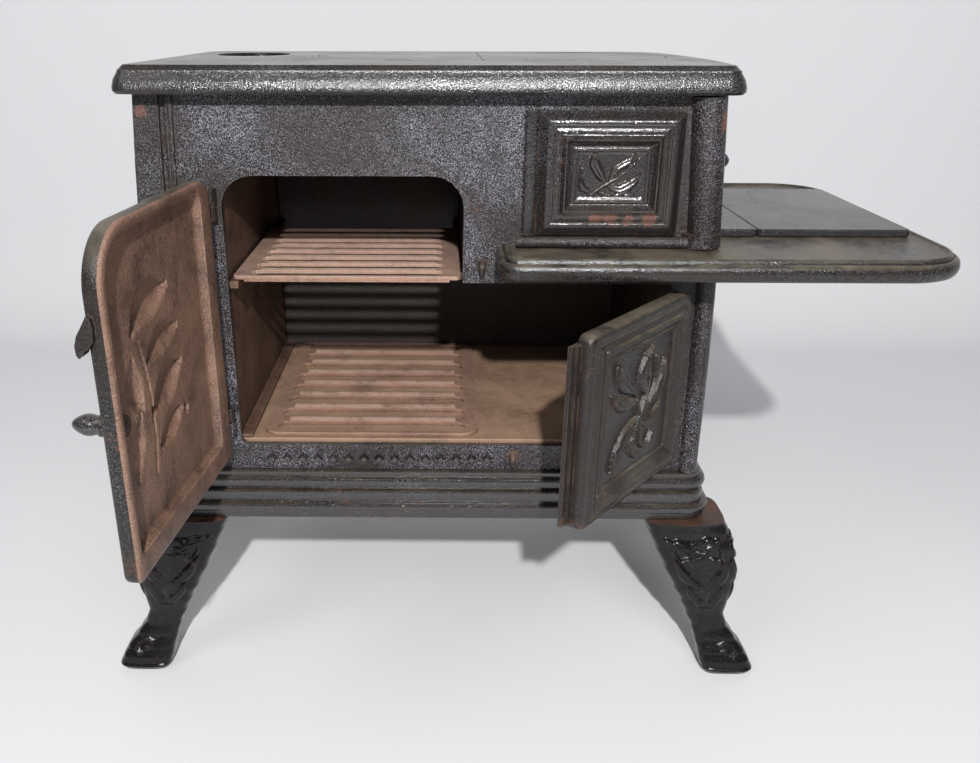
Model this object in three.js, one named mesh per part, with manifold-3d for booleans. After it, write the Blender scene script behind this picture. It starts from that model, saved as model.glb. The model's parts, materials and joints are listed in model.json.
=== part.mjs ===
import * as THREE from 'three';
import { mergeVertices } from 'three/addons/utils/BufferGeometryUtils.js';
import Module from 'manifold-3d';

const wasm = await Module();
wasm.setup();

// A cast-iron sample stove. Millimetres, X to the right, Y to the back, Z up.
// It is drawn with the front plate's face at y = 0, the floor at z = 0 and the body's middle at x = 0.

// General fits
const gap = 0.3;            // left where one casting rests on another
const overrun = 2;          // how far a cutting tool passes a face
const sink = 0.6;           // how far a raised feature is let into its own casting
const leastRadius = 0.2;    // keeps the points of a sharp corner apart
const weld = 1e-5;          // points closer than this are one point
const wall = 4;             // thickness of the body's plates
const liner = 3;            // thickness of the plates inside

// Body
const legHeight = 97;
const baseHeight = 27;
const bodyHeight = 202;
const bodyHalfWidth = 150;
const bodyDepth = 178;
const sideLean = 7;         // how far each side leans in at the top
const leanPower = 2.4;
const sillHeight = 15;      // band of the front plate under the oven mouth

// Top plate
const top = { thick: 13, web: 4, front: 12, side: 7.5, back: 9, seat: 6, edgeIn: 6, bow: 5 };
const topRadii = { lowLeft: 8, lowRight: 10, highRight: 34, highLeft: 20 };
const topEdgeShares = [[0.2, 0], [0, 0.1], [0, 0.24], [0.16, 0.5], [0.5, 0.74], [0.54, 0.82], [0.68, 0.86],
  [1, 1]];
const lidHole = { leftIn: 84, rightIn: 14, front: 43, backIn: 3, ledge: 4, ledgeThick: 2.4, lidThick: 3,
  fit: 0.5 };
const lidBar = { rightIn: 122, width: 22 };
const lifter = { leftIn: 49, length: 15, width: 4.5, depth: 1.6, inset: 8, rightIn: 46, slotLength: 44 };
const flue = { leftIn: 43, backIn: 53, width: 43, length: 56, collarWall: 3, collarDrop: 14 };

// Oven: its mouth is tall on the left and low on the right, with a step between
const mouth = { leftIn: 45.5, upperShare: 0.4067, rightIn: 23, stepShare: 0.5371, topDrop: 39,
  upperRadius: 16, lowerRadius: 4 };
const oven = { floorRise: 2, backSpace: 10, ceilingRise: 4, footWidth: 6, footThick: 2 };
const tray = { width: 122, thick: 2, bars: 7, barRadius: 3.4, slotInset: 7, corner: 10, side: 10.5, front: 3,
  backSpace: 1.7 };
const ovenShelf = { rise: 1.5, thick: 2, bars: 7, barRadius: 2.6, slotInset: 8, corner: 2, side: 1.2,
  front: 3, backSpace: 35.7, lipDrop: 1.2 };
const runner = { width: 4.5, height: 4, under: 6, setBack: 20 };

// Firebox
const fire = { floorThick: 4, ashSpace: 13, grateThick: 5, slots: 9, slotShare: 0.614, border: 8, side: 4,
  railWidth: 7, rightIn: 21, backIn: 28 };
const feedDoor = { front: 42, backIn: 50, overShelf: 12, topDrop: 15, lap: 4, thick: 4, stand: 0.6,
  axisOut: 6, axisBack: 7, lugIn: 6, armReach: 5.5, knobInset: 12 };

// Raised firebox panel, its ledge and the turned columns at the body's right corner
const panel = { fromMouth: 35.5, rightIn: 26, topDrop: 7, seat: 3, height: 7, frame: 20, strip: 6.5,
  stripHeight: 4 };
const panelShares = [[0, 0.06], [0.12, 0.31], [0.22, 0.62], [0.31, 0.66], [0.36, 0.53], [0.4, 0.62],
  [0.52, 0.7], [0.6, 0.88], [0.66, 1], [0.72, 0.88], [0.8, 0.58], [0.88, 0.64], [0.95, 0.6], [1, 0.47]];
const ledge = { past: 9, height: 5.4, out: 4 };
const column = { radius: 8.5, slimRadius: 5, footRadius: 10, footHeight: 8 };
const backFrame = { inset: 16, width: 4, rise: 2 };
const groove = { fromEdge: 14, radius: 1.8, beadRadius: 1.6, beadStep: 3.8 };

// Doors and their hinges
const hinge = { leftIn: 40.5, rightIn: 15.5, out: 3.9, radius: 3.3, pin: 1.4, fit: 0.3, height: 8, play: 0.4,
  pinShort: 1 };
const door = { overSill: 2.2, fromAxis: 5, seat: 0.8, depth: 10.5, skin: 2.4, rim: 8, slope: 2.5, edge: 1.6,
  corner: 4, between: 8 };
const doorFrame = { hinge: 10, free: 23, top: 15, low: 13.5 };
const doorShares = [[0, 0.6], [0.04, 0.72], [0.3, 0.8], [0.36, 0.9], [0.6, 0.93], [0.68, 1], [0.9, 1],
  [1, 0.66]];
const fieldShare = 0.66;
const leftDoor = { pastMouth: 3, overMouth: 1, hingeDrop: 14.5, hingeRise: 18.2, openAngle: 95.5,
  hingeCorner: 14, freeCorner: 25 };
const rightDoor = { overMouth: 0.8, hingeDrop: 22.3, hingeRise: 11.2, openAngle: 50.5, hingeCorner: 14,
  freeCorner: 4 };
const lap = { width: 6, thick: 3.4 };
const knob = { rise: 71, inset: 8, length: 13.5, radius: 4.8, feedLength: 12 };
const knobShares = [[0, 0.74], [0.18, 0.7], [0.32, 0.84], [0.5, 1], [0.7, 0.92], [0.86, 0.66], [0.96, 0.3],
  [1, 0]];
const latch = { topDrop: 31, height: 17, reach: 2.6, front: 1.8, thick: 8 };
const latchShares = [[0, 0.4], [0.3, 0.2], [0.62, 0], [0.92, 0.08], [1, 0.3], [0.86, 0.62], [0.45, 0.9],
  [0, 1]];
const keeper = { height: 9.5, out: 7, topHalf: 3, lowHalf: 1.5 };
const upperKeeper = { fromMouth: 9.7, rise: 3.5 };
const lowerKeeper = { fromMouth: 29.1, rise: 3 };

// A plain sprig: places, lengths and widths of its leaves as shares of the field, and turns in half turns
const sprigShares = [
  { x: -0.26, y: 0.22, length: 0.42, width: 0.2, turn: 0.72 },
  { x: 0.22, y: 0.28, length: 0.44, width: 0.2, turn: 0.32 },
  { x: 0.22, y: -0.16, length: 0.38, width: 0.18, turn: 0.86 },
  { x: -0.2, y: -0.26, length: 0.44, width: 0.2, turn: 0.3 },
  { x: 0, y: 0, length: 0.62, width: 0.07, turn: 0.58 },
];
const leaf = { rise: 2, hollow: 1.7, sides: 10, rows: 6 };

// Side shelf
const shelf = { fromMouth: 16.5, front: -38, rightOut: 114, backOut: 9, rise: 19.5, thick: 4, lipWidth: 6,
  lipRise: 2.5, lipDrop: 4.5, step: 2.5, outerRadius: 34, endRadius: 10, bead: 2.4, flangeDrop: 18,
  flangeFront: 40, flangeBackIn: 38 };
const shelfPlate = { front: 22, backIn: 32, thick: 4, seamOut: 24, side: 9, corner: 3, round: 0.8 };

// Base: bands of its moulding as shares of its height, each with its outset and rounding
const base = { floor: 4, corner: 5, seat: 6, postSize: 12, postIn: 50 };
const baseBands = [
  { lowShare: 0, highShare: 0.2, out: 8, round: 1 },
  { lowShare: 0.15, highShare: 0.34, out: 9.5, round: 1.6 },
  { lowShare: 0.3, highShare: 0.6, out: 6, round: 1.5 },
  { lowShare: 0.55, highShare: 0.76, out: 2.5, round: 0.5 },
  { lowShare: 0.68, highShare: 0.9, out: 6.5, round: 2 },
  { lowShare: 0.85, highShare: 1, out: 3.5, round: 0.5 },
];

// Legs: the middle of the leg's top inside the body's corner, how far the foot's middle stands out from it
// and the half sizes of the top, then shares of these for each section at a share of the height. The legs
// stand a little aside of the body's middle.
const leg = { insetX: 9, insetY: 4.5, outX: 32, outY: 15.5, halfX: 24, halfY: 19, aside: 4, points: 16,
  roundShare: 0.55, boltIn: 13, boltY: 12, boltDepth: 12 };
const legShares = [
  { upShare: 0, outXShare: 1, outYShare: 0.968, halfXShare: 0.615, halfYShare: 0.579 },
  { upShare: 0.03, outXShare: 1, outYShare: 1, halfXShare: 0.677, halfYShare: 0.642 },
  { upShare: 0.08, outXShare: 0.945, outYShare: 0.961, halfXShare: 0.656, halfYShare: 0.632 },
  { upShare: 0.135, outXShare: 0.883, outYShare: 0.871, halfXShare: 0.615, halfYShare: 0.579 },
  { upShare: 0.205, outXShare: 0.766, outYShare: 0.742, halfXShare: 0.542, halfYShare: 0.505 },
  { upShare: 0.29, outXShare: 0.641, outYShare: 0.639, halfXShare: 0.479, halfYShare: 0.463 },
  { upShare: 0.37, outXShare: 0.539, outYShare: 0.6, halfXShare: 0.51, halfYShare: 0.495 },
  { upShare: 0.475, outXShare: 0.484, outYShare: 0.587, halfXShare: 0.625, halfYShare: 0.6 },
  { upShare: 0.565, outXShare: 0.43, outYShare: 0.548, halfXShare: 0.76, halfYShare: 0.705 },
  { upShare: 0.7, outXShare: 0.336, outYShare: 0.445, halfXShare: 0.906, halfYShare: 0.821 },
  { upShare: 0.825, outXShare: 0.219, outYShare: 0.29, halfXShare: 0.979, halfYShare: 0.905 },
  { upShare: 0.93, outXShare: 0.094, outYShare: 0.097, halfXShare: 1, halfYShare: 0.979 },
  { upShare: 1, outXShare: 0, outYShare: 0, halfXShare: 1, halfYShare: 1 },
];
const legLeaf = { length: 40, width: 11, thick: 3, sink: 1 };
const legLeafShares = [
  { acrossShare: 0, upShare: 0.55, lengthShare: 1, turnShare: 0 },
  { acrossShare: -0.45, upShare: 0.7, lengthShare: 0.8, turnShare: -0.14 },
  { acrossShare: 0.45, upShare: 0.7, lengthShare: 0.8, turnShare: 0.14 },
];

// Fasteners
const rod = { radius: 2.2, nutRadius: 4.6, nutHeight: 4, sideIn: 16.5, front: 28, backIn: 28 };
const bolt = { radius: 2.4, head: 4.6, headHeight: 2.6, reach: 12, shelfFront: 62, shelfBackIn: 60,
  shelfDrop: 6.5 };

// How finely round things are divided
const cornerSteps = 5;
const wideSteps = 16;
const sideSteps = 6;
const bowSteps = 6;
const roundSides = 14;
const smallSides = 8;
const nutSides = 6;
const quarter = Math.PI / 2;
const half = Math.PI;
const full = 2 * Math.PI;

const finishes = {
  blackIron: { color: 0x1d1b1b, roughness: 0.45, metalness: 0.6 },
  topIron: { color: 0x2b2a29, roughness: 0.4, metalness: 0.6 },
  rustyIron: { color: 0x5a3a28, roughness: 0.85, metalness: 0.3 },
  ovenIron: { color: 0x3a2a22, roughness: 0.85, metalness: 0.3 },
  shelfIron: { color: 0x45403a, roughness: 0.7, metalness: 0.4 },
  legIron: { color: 0x121214, roughness: 0.3, metalness: 0.6 },
  boltIron: { color: 0x33302e, roughness: 0.6, metalness: 0.6 },
};

// Places worked out from the sizes
const baseTop = legHeight + baseHeight;
const bodyTop = baseTop + bodyHeight;
const sillTop = baseTop + sillHeight;
const topLow = bodyTop + gap;
const topFace = topLow + top.thick;
const webLow = topFace - top.web;
const lidLow = topFace - lidHole.lidThick;
const ledgeTop = lidLow - gap;
const lidHoleLeft = lidHole.leftIn - bodyHalfWidth;
const lidHoleRight = bodyHalfWidth - lidHole.rightIn;
const lidHoleRadius = (bodyDepth - lidHole.backIn - lidHole.front) / 2;
const lidHoleMiddle = lidHole.front + lidHoleRadius;
const lidBarLeft = bodyHalfWidth - lidBar.rightIn;
const flueX = flue.leftIn - bodyHalfWidth;
const flueY = bodyDepth - flue.backIn;
const insideFront = wall + gap;
const insideBack = bodyDepth - wall - gap;
const mouthLeft = mouth.leftIn - bodyHalfWidth;
const mouthUpperRight = mouthLeft + 2 * bodyHalfWidth * mouth.upperShare;
const mouthLowerRight = bodyHalfWidth - mouth.rightIn;
const mouthStep = baseTop + bodyHeight * mouth.stepShare;
const mouthTop = bodyTop - mouth.topDrop;
const ovenFloorTop = sillTop + oven.floorRise;
const ovenFloorLow = ovenFloorTop - liner;
const ovenBack = insideBack - oven.backSpace;
const ovenBackFace = ovenBack - liner;
const ovenCeilingLow = mouthTop + oven.ceilingRise;
const ovenShelfTop = mouthStep + ovenShelf.rise;
const divideLeft = mouthUpperRight + sink;
const divideRight = divideLeft + liner;
const fireFloorLow = mouthStep + sink;
const fireFloorTop = fireFloorLow + fire.floorThick;
const grateLow = fireFloorTop + fire.ashSpace;
const grateLeft = divideRight + fire.side;
const grateRight = bodyHalfWidth - fire.rightIn;
const grateBack = bodyDepth - fire.backIn;
const shelfLeft = mouthUpperRight + shelf.fromMouth;
const shelfRight = bodyHalfWidth + shelf.rightOut;
const shelfBack = bodyDepth + shelf.backOut;
const shelfTop = mouthStep + shelf.rise;
const shelfLow = shelfTop - shelf.thick;
const shelfSeam = bodyHalfWidth + shelfPlate.seamOut;
const shelfBodyX = halfWidthAt(shelfLow - shelf.flangeDrop) + gap;
const ledgeLow = shelfTop + gap;
const ledgeHigh = ledgeLow + ledge.height;
const panelLeft = mouthUpperRight + panel.fromMouth;
const panelRight = bodyHalfWidth - panel.rightIn;
const panelLow = ledgeHigh + gap;
const panelHigh = bodyTop - panel.topDrop;
const feedDoorBack = bodyDepth - feedDoor.backIn;
const feedDoorLow = shelfTop + feedDoor.overShelf;
const feedDoorHigh = bodyTop - feedDoor.topDrop;
const hingeY = -hinge.out;
const hingeLeftX = hinge.leftIn - bodyHalfWidth;
const hingeRightX = bodyHalfWidth - hinge.rightIn;
const doorLow = sillTop - door.overSill;
const doorBack = hinge.out - door.seat;
const doorFront = doorBack - door.depth;
const doorField = door.depth * fieldShare;
const leftDoorHigh = mouthTop + leftDoor.overMouth;
const rightDoorHigh = mouthStep + rightDoor.overMouth;
const leftDoorWidth = mouthUpperRight + leftDoor.pastMouth - hingeLeftX;
const rightDoorWidth = hingeRightX - hingeLeftX - leftDoorWidth - door.between;
const leftHinges = { upper: leftDoorHigh - leftDoor.hingeDrop, lower: doorLow + leftDoor.hingeRise };
const rightHinges = { upper: rightDoorHigh - rightDoor.hingeDrop, lower: doorLow + rightDoor.hingeRise };
const latchHigh = leftDoorHigh - latch.topDrop;
const latchLow = latchHigh - latch.height;
const knobHeight = doorLow + knob.rise;
const legBoltX = bodyHalfWidth - leg.boltIn;
const rodX = bodyHalfWidth - rod.sideIn;
const rodBack = bodyDepth - rod.backIn;

const stove = new THREE.Group();

// Half the body's width at a height: the sides lean in towards the top.
function halfWidthAt(z) {
  const climb = Math.max(0, (z - baseTop) / bodyHeight);
  return bodyHalfWidth - sideLean * climb ** leanPower;
}

function toSolid(geometry) {
  const bare = geometry.clone();
  bare.deleteAttribute('normal');
  bare.deleteAttribute('uv');
  const merged = mergeVertices(bare, weld);
  const vertProperties = new Float32Array(merged.attributes.position.array);
  const triVerts = new Uint32Array(withoutEmpty(merged.index.array));
  return new wasm.Manifold(new wasm.Mesh({ numProp: 3, vertProperties, triVerts }));
}

// Leaves out the triangles that have no area because two of their corners are one point.
function withoutEmpty(index) {
  const kept = [];
  for (let start = 0; start < index.length; start += 3) {
    const [a, b, c] = index.slice(start, start + 3);
    if (a !== b && b !== c && c !== a) {
      kept.push(a, b, c);
    }
  }
  return kept;
}

function toGeometry(solid) {
  const mesh = solid.getMesh();
  const geometry = new THREE.BufferGeometry();
  geometry.setAttribute('position', new THREE.BufferAttribute(mesh.vertProperties, 3));
  geometry.setIndex(new THREE.BufferAttribute(mesh.triVerts, 1));
  geometry.computeVertexNormals();
  return geometry;
}

function joined(solids) {
  return solids.reduce((whole, part) => whole.add(part));
}

function without(solid, tools) {
  return tools.reduce((rest, tool) => rest.subtract(tool), solid);
}

function addPiece(name, solid, finish, parent = stove) {
  const mesh = new THREE.Mesh(toGeometry(solid), new THREE.MeshStandardMaterial(finishes[finish]));
  mesh.name = name;
  parent.add(mesh);
}

function block(from, to) {
  const size = to.map((value, axis) => value - from[axis]);
  const middle = to.map((value, axis) => (value + from[axis]) / 2);
  return toSolid(new THREE.BoxGeometry(...size).translate(...middle));
}

// A shape drawn in plan, from one height to another, its edges rounded where round is given.
function flatSolid(shape, low, high, round = 0) {
  const geometry = new THREE.ExtrudeGeometry(shape, {
    depth: high - low - 2 * round,
    bevelEnabled: round > 0,
    bevelThickness: round,
    bevelSize: round,
    bevelOffset: -round,
    bevelSegments: 2,
    curveSegments: cornerSteps,
  });
  return toSolid(geometry.translate(0, 0, low + round));
}

// A shape drawn as seen from the front, from the plane y = near back to the plane y = far.
function uprightSolid(shape, near, far) {
  const geometry = new THREE.ExtrudeGeometry(shape, { depth: far - near, bevelEnabled: false });
  return toSolid(geometry.rotateX(quarter).translate(0, far, 0));
}

// A round bar between two points.
function bar(from, to, radius, sides = roundSides) {
  const start = new THREE.Vector3(...from);
  const axis = new THREE.Vector3(...to).sub(start);
  const upward = new THREE.Vector3(0, 1, 0);
  const turn = new THREE.Quaternion().setFromUnitVectors(upward, axis.clone().normalize());
  const geometry = new THREE.CylinderGeometry(radius, radius, axis.length(), sides).applyQuaternion(turn);
  const middle = start.addScaledVector(axis, 1 / 2);
  return toSolid(geometry.translate(middle.x, middle.y, middle.z));
}

function shapeOf(points) {
  return new THREE.Shape(points.map(([x, y]) => new THREE.Vector2(x, y)));
}

// Points along an arc, its two ends among them.
function arcPoints(x, y, radius, start, end, steps = cornerSteps) {
  return Array.from({ length: steps + 1 }, (_, step) => {
    const angle = start + (end - start) * step / steps;
    return [x + radius * Math.cos(angle), y + radius * Math.sin(angle)];
  });
}

function evenInsets(inset) {
  return { left: inset, right: inset, low: inset, high: inset };
}

function evenRadii(radius) {
  return { lowLeft: radius, lowRight: radius, highRight: radius, highLeft: radius };
}

function drawnIn(box, insets) {
  return {
    left: box.left + insets.left,
    right: box.right - insets.right,
    low: box.low + insets.low,
    high: box.high - insets.high,
  };
}

// Points round a rectangle: each corner has its own radius, each side is drawn in by its own inset.
function roundedPoints(box, radii, insets) {
  const { left, right, low, high } = drawnIn(box, insets);
  const corners = [
    { x: left, y: low, toX: 1, toY: 1, start: half, radius: radii.lowLeft - insets.low },
    { x: right, y: low, toX: -1, toY: 1, start: half + quarter, radius: radii.lowRight - insets.low },
    { x: right, y: high, toX: -1, toY: -1, start: 0, radius: radii.highRight - insets.high },
    { x: left, y: high, toX: 1, toY: -1, start: quarter, radius: radii.highLeft - insets.high },
  ];
  return corners.flatMap((corner) => {
    const radius = Math.max(corner.radius, leastRadius);
    return Array.from({ length: cornerSteps + 1 }, (_, step) => {
      const angle = corner.start + quarter * step / cornerSteps;
      const x = corner.x + corner.toX * radius + radius * Math.cos(angle);
      const y = corner.y + corner.toY * radius + radius * Math.sin(angle);
      return new THREE.Vector2(x, y);
    });
  });
}

// Joins outlines with equal numbers of points, each at its height, into one closed body.
function stackedGeometry(rings) {
  const count = rings[0].points.length;
  const lastStart = (rings.length - 1) * count;
  const positions = rings.flatMap((ring) => ring.points.flatMap((point) => [point.x, point.y, ring.height]));
  const index = [];
  for (let start = 0; start < lastStart; start += count) {
    for (let point = 0; point < count; point += 1) {
      const here = start + point;
      const next = start + (point + 1) % count;
      index.push(here, next, next + count, here, next + count, here + count);
    }
  }
  for (const [a, b, c] of THREE.ShapeUtils.triangulateShape(rings[0].points, [])) {
    index.push(a, c, b);
  }
  for (const [a, b, c] of THREE.ShapeUtils.triangulateShape(rings[rings.length - 1].points, [])) {
    index.push(lastStart + a, lastStart + b, lastStart + c);
  }
  const geometry = new THREE.BufferGeometry();
  geometry.setAttribute('position', new THREE.Float32BufferAttribute(positions, 3));
  geometry.setIndex(index);
  return geometry;
}

// Leaves of the sprig as flattened balls on a field, in the plane of a door or panel.
function sprigLeaves(field, height, rise) {
  const width = field.right - field.left;
  const tall = field.high - field.low;
  const size = Math.min(width, tall);
  return sprigShares.map((share) => {
    const geometry = new THREE.SphereGeometry(1, leaf.sides, leaf.rows);
    geometry.scale(size * share.length / 2, size * share.width / 2, rise);
    geometry.rotateZ(half * share.turn);
    const x = (field.left + field.right) / 2 + width * share.x;
    const y = (field.low + field.high) / 2 + tall * share.y;
    return toSolid(geometry.translate(x, y, height));
  });
}

// Body plates

// The outline of the body seen from the front, between two heights.
function bodyOutline(low, high) {
  const right = Array.from({ length: sideSteps + 1 }, (_, step) => {
    const z = low + (high - low) * step / sideSteps;
    return [halfWidthAt(z), z];
  });
  const left = right.map(([x, z]) => [-x, z]).reverse();
  return shapeOf([...right, ...left]);
}

// The oven mouth is L-shaped: tall on the left and low on the right, under the firebox.
function mouthPath() {
  const { upperRadius, lowerRadius } = mouth;
  const lowLeftX = mouthLeft + lowerRadius;
  const lowRightX = mouthLowerRight - lowerRadius;
  const highY = mouthTop - upperRadius;
  return shapeOf([
    ...arcPoints(lowLeftX, sillTop + lowerRadius, lowerRadius, half, half + quarter),
    ...arcPoints(lowRightX, sillTop + lowerRadius, lowerRadius, -quarter, 0),
    ...arcPoints(lowRightX, mouthStep - lowerRadius, lowerRadius, 0, quarter),
    [mouthUpperRight, mouthStep],
    ...arcPoints(mouthUpperRight - upperRadius, highY, upperRadius, 0, quarter),
    ...arcPoints(mouthLeft + upperRadius, highY, upperRadius, quarter, half),
  ]);
}

// A lug on the front plate that holds a hinge pin, with its lower face at the given height.
function hingeLug(x, low) {
  const high = low + hinge.height;
  const arc = arcPoints(x, hingeY, hinge.radius, half, full, smallSides);
  const shape = shapeOf([[x - hinge.radius, sink], ...arc, [x + hinge.radius, sink]]);
  const hole = bar([x, hingeY, low - overrun], [x, hingeY, high + overrun], hinge.pin + gap);
  return flatSolid(shape, low, high).subtract(hole);
}

// The front half of a column at the body's right corner, leaning with the side.
function cornerColumn(low, high, radius) {
  const lowX = halfWidthAt(low) - radius;
  const highX = halfWidthAt(high) - radius;
  const behindFrom = [lowX - 2 * radius, sink, low - overrun];
  const behind = block(behindFrom, [lowX + 2 * radius, 2 * radius, high + overrun]);
  return bar([lowX, 0, low + sink], [highX, 0, high - sink], radius).subtract(behind);
}

function frontPlate() {
  const shape = bodyOutline(baseTop + gap, bodyTop);
  shape.holes.push(mouthPath());
  const grooveLowX = groove.fromEdge - halfWidthAt(sillTop);
  const grooveHighX = groove.fromEdge - halfWidthAt(bodyTop);
  const slot = bar([grooveLowX, 0, sillTop], [grooveHighX, 0, bodyTop + overrun], groove.radius, smallSides);
  const beadLow = [grooveLowX + groove.beadStep, 0, sillTop];
  const beadHigh = [grooveHighX + groove.beadStep, 0, bodyTop - sink];
  const footX = halfWidthAt(ledgeLow) - column.footRadius;
  const ledgeLeft = panelLeft - ledge.past;
  const ledgeRadius = ledge.height / 2;
  const ledgeMiddle = ledgeLow + ledgeRadius;
  return joined([
    uprightSolid(shape, 0, wall).subtract(slot),
    bar(beadLow, beadHigh, groove.beadRadius, smallSides),
    block([ledgeLeft, -ledge.out, ledgeLow], [footX, sink, ledgeHigh]),
    bar([ledgeLeft, -ledge.out, ledgeMiddle], [footX, -ledge.out, ledgeMiddle], ledgeRadius),
    cornerColumn(ledgeLow, bodyTop, column.radius),
    cornerColumn(ledgeLow, ledgeLow + column.footHeight, column.footRadius),
    cornerColumn(baseTop + gap, shelfLow - shelf.lipDrop - gap, column.slimRadius),
    ...lugLows(leftHinges).map((low) => hingeLug(hingeLeftX, low)),
    ...lugLows(rightHinges).map((low) => hingeLug(hingeRightX, low)),
  ]);
}

// A plate that stands along the body's side and follows its lean.
function sidePlate(sign) {
  const outer = Array.from({ length: sideSteps + 1 }, (_, step) => {
    const z = baseTop + gap + (bodyHeight - gap) * step / sideSteps;
    return [sign * halfWidthAt(z), z];
  });
  const inner = outer.map(([x, z]) => [x - sign * wall, z]).reverse();
  const points = sign > 0 ? [...outer, ...inner] : [...outer, ...inner].reverse();
  return uprightSolid(shapeOf(points), insideFront, insideBack);
}

function rightSidePlate() {
  const over = feedDoor.lap;
  const inner = bodyHalfWidth - sideLean - wall - overrun;
  const holeTo = [bodyHalfWidth + overrun, feedDoorBack - over, feedDoorHigh - over];
  const hole = block([inner, feedDoor.front + over, feedDoorLow + over], holeTo);
  const lugs = feedLugLows().map((z) => feedLug(z));
  const boltHoles = shelfBoltPlaces().map((place) => shelfBoltHole(place));
  return without(joined([sidePlate(1), ...lugs]), [hole, ...boltHoles]);
}

function backPlate() {
  const shape = bodyOutline(baseTop + gap, bodyTop);
  const { inset, width, rise } = backFrame;
  const right = halfWidthAt(bodyTop) - inset;
  const frameBox = { left: -right, right, low: baseTop + inset, high: bodyTop - inset };
  const frame = new THREE.Shape(roundedPoints(frameBox, evenRadii(inset), evenInsets(0)));
  frame.holes.push(new THREE.Path(roundedPoints(frameBox, evenRadii(inset), evenInsets(width))));
  return joined([
    uprightSolid(shape, bodyDepth - wall, bodyDepth),
    uprightSolid(frame, bodyDepth - sink, bodyDepth + rise),
  ]);
}

// The moulded base with a floor, a seat for the body's plates and posts for the oven floor.
function baseCasting() {
  const outline = (out) => {
    const box = { left: -bodyHalfWidth - out, right: bodyHalfWidth + out, low: -out, high: bodyDepth + out };
    return new THREE.Shape(roundedPoints(box, evenRadii(base.corner + out), evenInsets(0)));
  };
  const bands = baseBands.map((band) => {
    const low = legHeight + baseHeight * band.lowShare;
    const high = legHeight + baseHeight * band.highShare;
    return flatSolid(outline(band.out), low, high, band.round);
  });
  const inside = flatSolid(outline(-base.seat), legHeight + base.floor, baseTop + overrun);
  const postFronts = [base.seat, bodyDepth - base.seat - base.postSize];
  const postSide = bodyHalfWidth - base.postIn;
  const posts = [-postSide, 0, postSide].flatMap((x) => postFronts.map((y) => {
    const low = [x - base.postSize / 2, y, legHeight + sink];
    return block(low, [x + base.postSize / 2, y + base.postSize, ovenFloorLow - gap]);
  }));
  const holes = legPlaces().map(({ signX, boltY }) => {
    const x = signX * legBoltX;
    const to = [x, boltY, legHeight + base.floor + overrun];
    return bar([x, boltY, legHeight - overrun], to, bolt.radius + gap, smallSides);
  });
  return without(joined([joined(bands).subtract(inside), ...posts]), holes);
}

// Top plate, lids and flue

function topOutline(inset) {
  const right = halfWidthAt(bodyTop) + top.side;
  const box = { left: -right, right, low: -top.front, high: bodyDepth + top.back };
  const points = roundedPoints(box, topRadii, evenInsets(inset));
  const cornerPoints = cornerSteps + 1;
  const rightLow = points[2 * cornerPoints - 1];
  const rightHigh = points[2 * cornerPoints];
  const bowed = Array.from({ length: bowSteps - 1 }, (_, step) => {
    const share = (step + 1) / bowSteps;
    const out = top.bow * Math.sin(half * share);
    return rightLow.clone().lerp(rightHigh, share).add(new THREE.Vector2(out, 0));
  });
  return [...points.slice(0, 2 * cornerPoints), ...bowed, ...points.slice(2 * cornerPoints)];
}

// The long hole over the fire, with round ends.
function lidHoleShape(inset) {
  const radius = lidHoleRadius - inset;
  const rightX = lidHoleRight - lidHoleRadius;
  const leftX = lidHoleLeft + lidHoleRadius;
  const rightEnd = arcPoints(rightX, lidHoleMiddle, radius, -quarter, quarter, wideSteps);
  const leftEnd = arcPoints(leftX, lidHoleMiddle, radius, quarter, half + quarter, wideSteps);
  return shapeOf([...rightEnd, ...leftEnd]);
}

function ovalShape(extra) {
  const unit = arcPoints(0, 0, 1, 0, full, 2 * wideSteps).slice(1);
  const across = flue.width / 2 + extra;
  const along = flue.length / 2 + extra;
  return shapeOf(unit.map(([x, y]) => [flueX + across * x, flueY + along * y]));
}

function topPlate() {
  const rings = topEdgeShares.map(([inShare, upShare]) => ({
    points: topOutline(top.edgeIn * inShare),
    height: topLow + top.thick * upShare,
  }));
  const seatX = halfWidthAt(bodyTop) - top.seat;
  const hollow = block([-seatX, top.seat, topLow - overrun], [seatX, bodyDepth - top.seat, webLow]);
  const ring = flatSolid(lidHoleShape(-lidHole.ledge), ledgeTop - lidHole.ledgeThick, webLow + sink);
  const collarLow = webLow - flue.collarDrop;
  const plate = without(toSolid(stackedGeometry(rings)), [hollow]);
  return without(joined([plate, ring, flatSolid(ovalShape(flue.collarWall), collarLow, webLow + sink)]), [
    flatSolid(lidHoleShape(0), ledgeTop, topFace + overrun),
    flatSolid(lidHoleShape(lidHole.ledge), ledgeTop - lidHole.ledgeThick - overrun, topFace),
    flatSolid(ovalShape(0), collarLow - overrun, topFace + overrun),
  ]);
}

// One of the three covers over the long hole, between two planes of x.
function lidPiece(left, right, recesses) {
  const whole = flatSolid(lidHoleShape(lidHole.fit), lidLow, topFace);
  const low = lidHoleMiddle - lidHoleRadius - overrun;
  const high = lidHoleMiddle + lidHoleRadius + overrun;
  const slice = block([left, low, lidLow - overrun], [right, high, topFace + overrun]);
  return without(whole.intersect(slice), recesses);
}

function lifterPocket(x, y, length) {
  const low = [x - length / 2, y - lifter.width / 2, topFace - lifter.depth];
  return block(low, [x + length / 2, y + lifter.width / 2, topFace + overrun]);
}

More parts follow.
